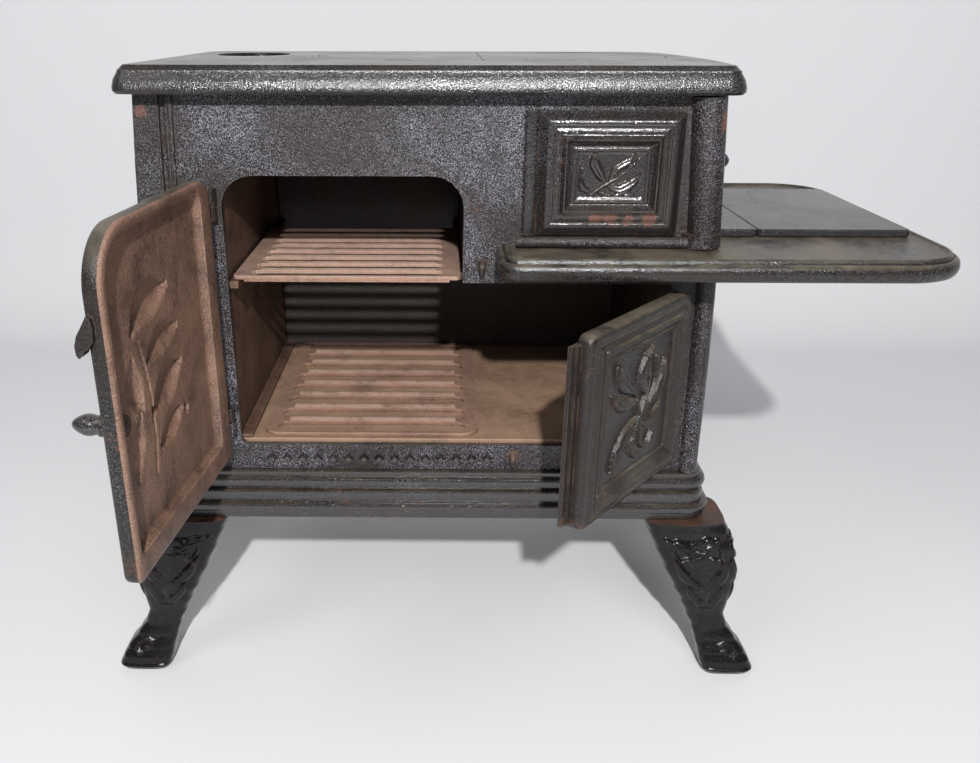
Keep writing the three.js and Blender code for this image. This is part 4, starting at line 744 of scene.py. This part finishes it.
rightDoor = {
    "outline": (-106.0, -5.0, 136.8, 233.3), "open": 50.5, "counts": (124, 120), "knuckles": (202.6, 148.0),
    "sharpFrom": 38, "hollowDepth": 0.5, "finishes": ("doorIron", "doorIron"),
    "front": [((0, 0, 0, 0), (4, 4, 14, 4)),
              ((14.5, 12, 7.5, 10.3), (1, 1, 4, 1)),
              ((22, 17.5, 15.5, 17.5), (1, 1, 3, 1))],
    "back": [((0, 0, 0, 0), (4, 4, 14, 4)),
             ((8, 8, 8, 8), (2, 2, 6, 2)),
             ((12, 12, 12, 12), (2, 2, 6, 2))],
    "sprig": [
        ("stem", 2.6, 2.6,
         [(-38, 165), (-42, 160), (-49, 162), (-52, 170), (-54, 181), (-60, 193), (-68, 203)]),
        ("stem", 2.2, 2.4, [(-58, 166), (-56, 176), (-49, 187), (-47, 199), (-52, 211)]),
        ("stem", 2.0, 2.2, [(-52, 180), (-44, 184), (-38, 194), (-39, 206)]),
        (2, 7.5, 2.9, [(-60, 193), (-67, 198), (-74, 204), (-77, 213)]),
        (2, 7, 2.7, [(-58, 189), (-67, 189), (-75, 192), (-82, 198)]),
        (2, 7.5, 3.0, [(-50, 190), (-53, 198), (-51, 206), (-45, 213)]),
        (2, 6.5, 2.6, [(-44, 183), (-36, 186), (-31, 193), (-31, 203)]),
        (3, 9, 3.0, [(-56, 179), (-63, 174), (-71, 167), (-77, 157)]),
        (2, 6, 2.4, [(-53, 175), (-46, 173), (-38, 174), (-31, 180)]),
        (2, 5, 2.4, [(-56, 172), (-58, 165), (-55, 159), (-49, 156)]),
    ],
}
# Sections of the doors' moulding and dished back: stage and height
doorMoulding = [
    (0.0, 5.6), (0.02, 7.0), (0.06, 7.9), (0.14, 8.5), (0.3, 8.9), (0.4, 8.6), (0.44, 8.0), (0.49, 7.9),
    (0.54, 8.6), (0.66, 9.2), (0.78, 9.2), (0.83, 8.7), (0.87, 8.8), (0.92, 9.9), (0.97, 10.4), (1.03, 10.5),
    (1.1, 10.3), (1.16, 9.6), (1.3, 8.9), (1.5, 7.8), (1.66, 6.8), (1.72, 6.7), (1.76, 7.2), (1.84, 7.4),
    (1.9, 7.1), (1.94, 6.3), (2.0, 6.1)]
dish = [(0.0, 1.6), (0.05, 0.9), (0.14, 0.35), (0.28, 0.05), (0.6, 0.0), (0.85, 0.08), (1.0, 0.45),
        (1.15, 1.4), (1.35, 2.8), (1.6, 3.7), (1.85, 4.05), (2.0, 4.1)]
knuckle = {"radius": 3.3, "height": 8.0, "arm": 1.6, "reach": 7.0, "round": 0.5}


def knuckleParts(low, side):
    tall, soft, radius = knuckle["height"], knuckle["round"], knuckle["radius"]
    profile = [(0, radius - soft), (soft, radius), (tall - soft, radius), (tall, radius - soft)]
    near, far = sorted((0.0, side * knuckle["reach"]))
    return [turnedPiece(profile, (0, 0, low), (0, 0, 1)),
            blockPiece((near, -knuckle["arm"], low), (far, knuckle["arm"], low + tall))]


def makeDoor(name, door, hinge, extras):
    def raised(across, up):
        return -reliefHeight(across, up, door["sprig"])

    def hollow(across, up):
        return raised(across, up) * door["hollowDepth"]

    front = {"stages": door["front"], "rows": [(stage, doorBack - height) for stage, height in doorMoulding],
             "relief": raised}
    back = {"stages": door["back"], "rows": [(stage, doorBack - depth) for stage, depth in dish],
            "relief": hollow}
    points, faces, sides = framedPlate(door["outline"], front, back, door["counts"])
    side = 1 if door["outline"][0] > 0 else -1
    knuckles = [part for low in door["knuckles"] for part in knuckleParts(low, side)]
    whole, allFaces = joinParts([(points, faces), *extras, *knuckles])
    turn = Matrix.Translation((hinge.x - drawing.x, hinge.y - drawing.y, 0))
    turn = turn @ Matrix.Rotation(math.radians(door["open"]), 4, "Z")
    piece = addMesh(name + "_casting", (whole, allFaces), door["finishes"], name, door["sharpFrom"], name,
                    turn)
    sides = sides + [1] * (len(allFaces) - len(sides))
    piece.data.polygons.foreach_set("material_index", sides)
    return turn


# The left door's latch, drawn in its own plane as depth and height, and the boss and knob above it
latch = {"from": 127.0, "to": 132.6,
         "outline": [(-3.2, 257.0), (-5.2, 253.5), (-8.0, 249.0), (-9.2, 245.0), (-9.0, 241.4),
                     (-8.0, 240.0), (-6.6, 241.0), (-5.6, 243.2), (-3.6, 244.4), (-1.6, 247.0),
                     (-1.2, 252.0), (-1.8, 256.0)]}
latchPart = ([(x, y, z) for x in (latch["from"], latch["to"]) for y, z in latch["outline"]],
             tubeFaces(2, len(latch["outline"])))
knob = {"at": (122.0, 207.8), "length": 13.5, "radius": 4.8, "gap": 0.3, "bossFrom": 1.6, "bossLength": 9.0,
        "sharpFrom": 50,
        "profile": [(0, 0.98), (0.07, 1), (0.09, 0.84), (0.16, 0.82), (0.26, 0.88), (0.36, 0.95),
                    (0.46, 0.97), (0.56, 0.93), (0.66, 0.84), (0.76, 0.71), (0.85, 0.56), (0.92, 0.4),
                    (0.97, 0.22), (1, 0.04)]}
knobX, knobZ = knob["at"]
boss = turnedPiece([(0, knob["radius"]), (knob["bossLength"], knob["radius"])],
                   (knobX, knob["bossFrom"], knobZ), (0, -1, 0))
leftTurn = makeDoor("left_door", leftDoor, leftPin, [latchPart, boss])
knobProfile = [(along * knob["length"], wide * knob["radius"]) for along, wide in knob["profile"]]
knobY = knob["bossFrom"] - knob["bossLength"] - knob["gap"]
addMesh("left_door_knob_turned", turnedPiece(knobProfile, (knobX, knobY, knobZ), (0, -1, 0)), ["glossIron"],
        "left_door_knob", knob["sharpFrom"], "left_door", leftTurn)

# The lap of the right door that the left one closes over
lap = {"near": -102.0, "step": -109.0, "far": -112.0, "low": 140.8, "high": 229.3,
       "deep": (1.0, doorBack), "thin": (-0.2, 1.2)}
makeDoor("right_door", rightDoor, rightPin,
         [blockPiece((lap["far"], lap["deep"][0], lap["low"]), (lap["near"], lap["deep"][1], lap["high"])),
          blockPiece((lap["step"], lap["thin"][0], lap["low"]), (lap["near"], lap["thin"][1], lap["high"]))])
print("doors made")

# Firebox panel: a frame stepped up to a crest and down again to a small field with a sprig
panel = {
    "outline": (53.0, 124.0, 258.4, 319.0), "counts": (70, 60), "plate": -0.3, "frame": 20.0, "sharpFrom": 32,
    "rows": [(0.0, 1.0), (0.01, 3.4), (0.05, 3.9), (0.12, 5.2), (0.19, 6.9), (0.23, 7.5), (0.3, 7.7),
             (0.345, 7.4), (0.36, 6.7), (0.385, 6.7), (0.4, 7.4), (0.46, 7.9), (0.52, 7.9), (0.545, 7.5),
             (0.56, 7.6), (0.62, 9.3), (0.645, 9.9), (0.675, 9.9), (0.7, 9.2), (0.8, 7.2), (0.82, 7.0),
             (0.845, 7.5), (0.88, 7.7), (0.915, 7.5), (0.93, 7.0), (1.0, 6.3)],
    "sprig": [
        ("stem", 2.2, 1.5, [(77, 277), (84, 283), (92, 288), (102, 297)]),
        (3, 5.5, 1.7, [(86, 285), (83, 290), (80, 296), (82, 300)]),
        (3, 4.5, 1.6, [(88, 286), (91, 292), (97, 296), (100, 300)]),
        (4, 5.5, 1.6, [(87, 284), (93, 282), (99, 285), (103, 290)]),
        (3, 4.5, 1.5, [(83, 281), (90, 278), (97, 280), (101, 279)]),
        (2, 4, 1.3, [(80, 280), (75, 283), (73, 288), (75, 293)]),
    ],
    # section of the bead at the panel's left
    "bead": [(46.5, -0.3), (46.5, -2.6), (47.2, -3.4), (48.8, -3.9), (51.0, -3.9), (52.4, -3.3), (53.2, -2.6),
             (53.2, -0.3)],
}


def panelRelief(across, up):
    return -reliefHeight(across, up, panel["sprig"])


def noRelief(across, up):
    return np.zeros_like(up)


def makePanel():
    stages = [((inset,) * 4, (leastRadius,) * 4) for inset in (0, panel["frame"])]
    front = {"stages": stages, "rows": [(stage, panel["plate"] - height) for stage, height in panel["rows"]],
             "relief": panelRelief}
    back = {"stages": stages, "rows": [(0.0, panel["plate"]), (1.0, panel["plate"])], "relief": noRelief}
    plate = framedPlate(panel["outline"], front, back, panel["counts"])[:2]
    bead = [(x, y, z) for z in panel["outline"][2:] for x, y in panel["bead"]]
    parts = [plate, (bead, tubeFaces(2, len(panel["bead"])))]
    addMesh("firebox_panel_casting", joinParts(parts), ["glossIron"], "firebox_panel",
            panel["sharpFrom"])


makePanel()
print("panel made")

# Legs: rings of a rounded square, swept out to the foot, with scrolls and leaves on the two outer faces
legs = {
    "top": 96.7, "bodyHalf": 150.0, "bodyDepth": 178.0, "inset": (9.0, 4.5), "aside": 4.0, "points": 220,
    "rows": 170, "square": 0.5, "sunk": 0.9, "sideShare": 0.6, "reliefSlope": 1.8, "reliefFrom": 0.3,
    "sharpFrom": 60,
    # up, outX, outY, halfX, halfY
    "sections": [(0, 32, 15, 14.8, 11), (3, 32, 15.5, 16.2, 12.2), (8, 30.2, 14.9, 15.7, 12),
                 (13, 28.3, 13.5, 14.8, 11), (20, 24.5, 11.5, 13, 9.6), (28, 20.5, 9.9, 11.5, 8.8),
                 (36, 17.2, 9.3, 12.2, 9.4), (46, 15.5, 9.1, 15, 11.4), (55, 13.8, 8.5, 18.2, 13.4),
                 (68, 10.8, 6.9, 21.7, 15.6), (80, 7, 4.5, 23.5, 17.2), (90, 3, 1.5, 24, 18.6),
                 (96.7, 0, 0, 24, 19)],
    "strokes": [
        ("stem", 4.0, 2.1, [(-15, 87), (-8, 84), (0, 80), (7, 84), (14, 88)]),
        ("stem", 3.4, 2.0, [(3, 84), (8, 88.5), (13.5, 84), (12, 77), (6.5, 77)]),
        ("stem", 3.4, 2.0, [(-3, 83), (-9, 87), (-13.5, 82), (-11, 75.5), (-6, 77)]),
        (2, 7, 2.2, [(-14, 76), (-12, 68), (-7, 61), (-2, 56)]),
        (2, 7, 2.2, [(14, 76), (12, 68), (7, 61), (2, 56)]),
        (3, 7, 2.4, [(0, 77), (0.5, 68), (0, 57), (-0.5, 46)]),
        (1, 5, 1.8, [(-10, 59), (-8, 52), (-4, 46), (-1, 42)]),
        (1, 5, 1.8, [(10, 59), (8, 52), (4, 46), (1, 42)]),
    ],
    "toe": [
        ("stem", 1.8, 1.3, [(5, 11), (8, 14.5), (6.5, 18.5), (3, 18.5), (1.6, 15.4), (3.6, 13.4)]),
        ("stem", 2.2, 0.9, [(-11.5, 3.8), (0, 3.3), (12, 3.8)]),
    ],
}


# The section's place and half widths at a height, eased between those above and below
def legSection(up):
    sections = legs["sections"]
    for low, high in zip(sections, sections[1:]):
        if up <= high[0]:
            share = (up - low[0]) / (high[0] - low[0])
            share = (share * share * (3 - 2 * share) + share) / 2
            return [a + (b - a) * share for a, b in zip(low[1:], high[1:])]
    return list(sections[-1][1:])


def powerOf(value, power):
    return math.copysign(abs(value) ** power, value)


def makeLeg(name, signX, signY):
    points, normals, facing = [], [], []
    count, rowCount, square = legs["points"], legs["rows"], legs["square"]
    for row in range(rowCount + 1):
        up = legs["top"] * row / rowCount
        outX, outY, halfX, halfY = legSection(up)
        midX = legs["aside"] + signX * (legs["bodyHalf"] - legs["inset"][0] + outX)
        midY = legs["bodyDepth"] - legs["inset"][1] + outY if signY > 0 else legs["inset"][1] - outY
        for step in range(count):
            angle = 2 * math.pi * step / count
            cosine, sine = math.cos(angle), math.sin(angle)
            across, along = halfX * powerOf(cosine, square), halfY * powerOf(sine, square)
            points.append((midX + across, midY + along, up))
            normal = Vector((powerOf(cosine, 2 - square) / halfX, powerOf(sine, 2 - square) / halfY, 0))
            normal.normalize()
            normals.append(normal)
            facing.append((across * signX, along, normal.x * signX, normal.y * signY))
    points, facing = np.array(points), np.array(facing)
    onSide, onFront = np.clip(facing[:, 2:].T * legs["reliefSlope"] - legs["reliefFrom"], 0, 1)
    front = reliefHeight(facing[:, 0], points[:, 2], legs["strokes"] + legs["toe"]) * onFront
    side = reliefHeight(facing[:, 1] * signY, points[:, 2], legs["strokes"]) * onSide * legs["sideShare"]
    lift = np.maximum(front, side) - legs["sunk"]
    # The relief stays within the leg's own solid
    low, high = [np.array(corner / mm - drawing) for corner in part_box(name)]
    placed = [(x + normal.x * rise, y + normal.y * rise, z)
              for (x, y, z), normal, rise in zip(points, normals, lift)]
    placed = [tuple(point) for point in np.clip(np.array(placed), low, high)]
    addMesh(name + "_casting", (placed, tubeFaces(rowCount + 1, count)), ["legIron"], name, legs["sharpFrom"])


for legName, signX, signY in (("leg_front_left", -1, -1), ("leg_front_right", 1, -1),
                              ("leg_back_left", -1, 1), ("leg_back_right", 1, 1)):
    makeLeg(legName, signX, signY)
print("legs made")

# Keepers: a flat seat on the plate with a peg that turns down into a narrowing tip.
# Profiles are shares of the reach or height along, and of half the width
keeper = {"seat": 1.0, "out": 6.4, "seatShare": 0.62, "pegDrop": 0.3, "pegLean": -0.12, "tipOut": 0.75,
          "tipDrop": 0.34, "tipLean": 0.1, "sharpFrom": 40, "sides": 20,
          "peg": [(0, 0.8), (0.3, 0.72), (0.7, 0.62), (0.92, 0.5), (1, 0.22)],
          "tip": [(0, 0.6), (0.3, 0.5), (0.52, 0.3), (0.58, 0.05)]}


def makeKeeper(name):
    low, high = [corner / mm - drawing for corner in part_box(name)]
    middle, half, tall = (low.x + high.x) / 2, (high.x - low.x) / 2, high.z - low.z
    seat = blockPiece((low.x, high.y - keeper["seat"], high.z - tall * keeper["seatShare"]), tuple(high))
    peg = turnedPiece([(share * keeper["out"], wide * half) for share, wide in keeper["peg"]],
                      (middle, high.y - keeper["seat"] / 2, high.z - tall * keeper["pegDrop"]),
                      (0, -1, keeper["pegLean"]), keeper["sides"])
    tip = turnedPiece([(share * tall, wide * half) for share, wide in keeper["tip"]],
                      (middle, high.y - keeper["out"] * keeper["tipOut"], high.z - tall * keeper["tipDrop"]),
                      (0, keeper["tipLean"], -1), keeper["sides"])
    addMesh(name + "_hook", joinParts([seat, peg, tip]), ["boltIron"], name, keeper["sharpFrom"])


makeKeeper("upper_keeper")
makeKeeper("lower_keeper")

# Plain lozenges along the sill, in an even row
sill = {"from": -88.0, "to": 34.0, "step": 8.6, "up": 130.9, "halfWidth": 3.5, "halfHeight": 3.5, "rise": 2.4,
        "sunk": 0.3, "crown": 0.5, "sharpFrom": 30}


def lozenge(middle):
    half, tall, crown = sill["halfWidth"], sill["halfHeight"], sill["crown"]
    corners = [(half, 0), (0, tall), (-half, 0), (0, -tall)]
    foot = [(middle + x, sill["sunk"], sill["up"] + z) for x, z in corners]
    face = [(middle + x * crown, -sill["rise"], sill["up"] + z * crown) for x, z in corners]
    return foot + face, tubeFaces(2, 4)


lozengeCount = int((sill["to"] - sill["from"]) / sill["step"]) + 1
lozenges = [lozenge(sill["from"] + index * sill["step"]) for index in range(lozengeCount)]
addMesh("sill_lozenges", joinParts(lozenges), ["glossIron"], None, sill["sharpFrom"])

# Side shelf: a moulded lip swept round its free edges, its flat tray, a flange on the body and a boss
shelf = {
    "left": 34.0, "front": -38.0, "right": 264.0, "back": 187.0, "endRadius": 10.0, "outerRadius": 34.0,
    "seat": -0.3, "gap": 0.3, "tray": (248.0, 252.0), "arcSteps": 14, "sharpFrom": 40,
    # inset, up
    "lip": [(9.0, 248.0), (6.2, 247.6), (5.6, 244.6), (4.4, 243.2), (3.0, 243.0), (1.6, 243.6), (0.6, 244.9),
            (0.1, 246.6), (0.0, 248.0), (0.2, 249.4), (0.8, 250.7), (1.8, 251.6), (2.8, 251.8), (3.0, 251.3),
            (3.4, 251.3), (3.6, 252.2), (4.1, 253.3), (4.9, 254.0), (5.7, 253.8), (6.2, 253.0), (6.6, 252.5),
            (9.0, 252.0)],
    "flange": {"from": 40.0, "to": 140.0, "thick": 3.2, "top": 248.5},
    "boss": {"at": (43.0, -27.0, 251.8), "radius": 4.2, "rise": 0.5, "rings": 7, "tip": 0.03, "sides": 24},
}
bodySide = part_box("shelf_plate_inner")[0].x / mm - drawing.x - shelf["gap"]


def shelfRim():
    rim = [((shelf["left"], shelf["seat"]), (1.0, 0.0))]
    end, outer = shelf["endRadius"], shelf["outerRadius"]
    arcs = [((shelf["left"] + end, shelf["front"] + end), end, 180.0),
            ((shelf["right"] - outer, shelf["front"] + outer), outer, 270.0),
            ((shelf["right"] - outer, shelf["back"] - outer), outer, 0.0)]
    for (midX, midY), radius, start in arcs:
        for step in range(shelf["arcSteps"] + 1):
            angle = math.radians(start + 90.0 * step / shelf["arcSteps"])
            x, y = math.cos(angle), math.sin(angle)
            rim.append(((midX + radius * x, midY + radius * y), (-x, -y)))
    rim.append(((bodySide, shelf["back"]), (0.0, -1.0)))
    return rim


def shelfTray():
    rim, lip = shelfRim(), shelf["lip"]
    points = [(x + inX * inset, y + inY * inset, up) for (x, y), (inX, inY) in rim for inset, up in lip]
    count, faces = len(lip), []
    for station in range(len(rim) - 1):
        for step in range(count - 1):
            a, b = station * count + step, (station + 1) * count + step
            faces.append((a, a + 1, b + 1, b))
    corner = len(points)
    points += [(bodySide, shelf["seat"], up) for up in shelf["tray"]]
    under = [station * count for station in range(len(rim))]
    over = [station * count + count - 1 for station in range(len(rim))]
    faces += [tuple(reversed(under)) + (corner,), tuple(over) + (corner + 1,)]
    faces += [tuple(range(count)), tuple(range((len(rim) - 1) * count, len(rim) * count))]
    faces += [(under[0], over[0], corner + 1, corner), (under[-1], over[-1], corner + 1, corner)]
    return points, faces


def makeShelf():
    flange, bossShape = shelf["flange"], shelf["boss"]
    flangePart = blockPiece((bodySide, flange["from"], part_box("side_shelf")[0].z / mm),
                            (bodySide + flange["thick"], flange["to"], flange["top"]))
    quarter = math.pi / 2 / (bossShape["rings"] - 1)
    profile = [(math.sin(quarter * ring) * bossShape["radius"] * bossShape["rise"],
                max(math.cos(quarter * ring), bossShape["tip"]) * bossShape["radius"])
               for ring in range(bossShape["rings"])]
    bossPart = turnedPiece(profile, bossShape["at"], (0, 0, 1), bossShape["sides"])
    addMesh("side_shelf_casting", joinParts([shelfTray(), flangePart, bossPart]), ["shelfIron"], "side_shelf",
            shelf["sharpFrom"])


makeShelf()

# Every other node gets a casting from its solid
for nodeName in frame["nodes"]:
    if nodeName not in modelled:
        castCopy(nodeName)
print("castings made")

# Studio, in metres: a pale floor that curves up into a backdrop
studio = {"paper": (0.71, 0.71, 0.72), "roughness": 0.8, "front": -2.6, "back": 0.62, "side": 3.0,
          "curve": 0.12, "curveSteps": 8, "height": 2.4}


def studioSweep():
    work = bmesh.new()
    curve, steps = studio["curve"], studio["curveSteps"]
    profile = [(studio["front"], 0.0), (studio["back"] - curve, 0.0)]
    for step in range(1, steps + 1):
        turn = math.pi / 2 * step / steps
        profile.append((studio["back"] - curve + curve * math.sin(turn), curve - curve * math.cos(turn)))
    profile.append((studio["back"], studio["height"]))
    rows = [[work.verts.new((side, y, z)) for y, z in profile] for side in (-studio["side"], studio["side"])]
    for step in range(len(profile) - 1):
        work.faces.new((rows[0][step], rows[1][step], rows[1][step + 1], rows[0][step + 1]))
    mesh = bpy.data.meshes.new("studioSweep")
    work.to_mesh(mesh)
    work.free()
    for polygon in mesh.polygons:
        polygon.use_smooth = True
    sweep = newObject("studioSweep", mesh)
    material, tree, shader = startMaterial("studioPaper")
    shader.inputs["Base Color"].default_value = (*studio["paper"], 1.0)
    shader.inputs["Roughness"].default_value = studio["roughness"]
    # Seen from behind the paper is clear, so that a camera at the back sees the stove
    behind = addNode(tree, "NewGeometry").outputs["Backfacing"]
    clear = addNode(tree, "BsdfTransparent").outputs[0]
    paper = addNode(tree, "MixShader", {}, {0: behind, 1: shader.outputs[0], 2: clear})
    tree.links.new(paper.outputs[0], tree.nodes["Material Output"].inputs["Surface"])
    mesh.materials.append(material)


studioSweep()

lamps = {
    "key": {"from": (0.0, -1.15, 0.92), "size": 0.04, "power": 21.5},
    "soft": {"from": (0.25, -1.5, 1.35), "size": 0.9, "power": 9.0},
    "fill": {"from": (-1.1, -0.9, 1.5), "size": 0.8, "power": 5.0},
}
lampAim = Vector((0.0, -0.05, 0.2))


def addLamp(name, lamp):
    data = bpy.data.lights.new(name, "AREA")
    data.shape = "DISK"
    data.size = lamp["size"]
    data.energy = lamp["power"]
    light = newObject(name, data)
    light.location = lamp["from"]
    light.rotation_euler = (lampAim - light.location).to_track_quat("-Z", "Y").to_euler()


for lampName, lampSettings in lamps.items():
    addLamp(lampName, lampSettings)

# Pale air round the studio where it is seen, dim where it only lights
air = {"colour": (0.9, 0.94, 1.0), "lights": 0.16, "seen": 0.8}
world = bpy.data.worlds.new("studioAir")
world.use_nodes = True
worldTree = world.node_tree
background = worldTree.nodes["Background"]
background.inputs[0].default_value = (*air["colour"], 1.0)
seen = addNode(worldTree, "LightPath").outputs["Is Camera Ray"]
worldTree.links.new(rangeNode(worldTree, seen, 0.0, 1.0, air["lights"], air["seen"]), background.inputs[1])
bpy.context.scene.world = world

# Camera: its place in millimetres as drawn, its lens on a 36 mm sensor, and its turns in degrees
cameraLook = {"place": (6.87, -452.79, 359.67), "lens": 33.12, "sensor": 36.0, "pitch": 22.17, "yaw": 0.63,
              "roll": -0.08, "shift": (0.0582, 0.004), "near": 0.01}
cameraData = bpy.data.cameras.new("camera")
cameraData.lens = cameraLook["lens"]
cameraData.sensor_width = cameraLook["sensor"]
cameraData.sensor_fit = "HORIZONTAL"
cameraData.shift_x, cameraData.shift_y = cameraLook["shift"]
cameraData.clip_start = cameraLook["near"]
camera = newObject("camera", cameraData)
camera.location = (Vector(cameraLook["place"]) + drawing) * mm
camera.rotation_euler = [math.radians(turn) for turn in
                         (90 - cameraLook["pitch"], cameraLook["roll"], cameraLook["yaw"])]
bpy.context.scene.camera = camera
bpy.context.scene.view_settings.view_transform = "Standard"
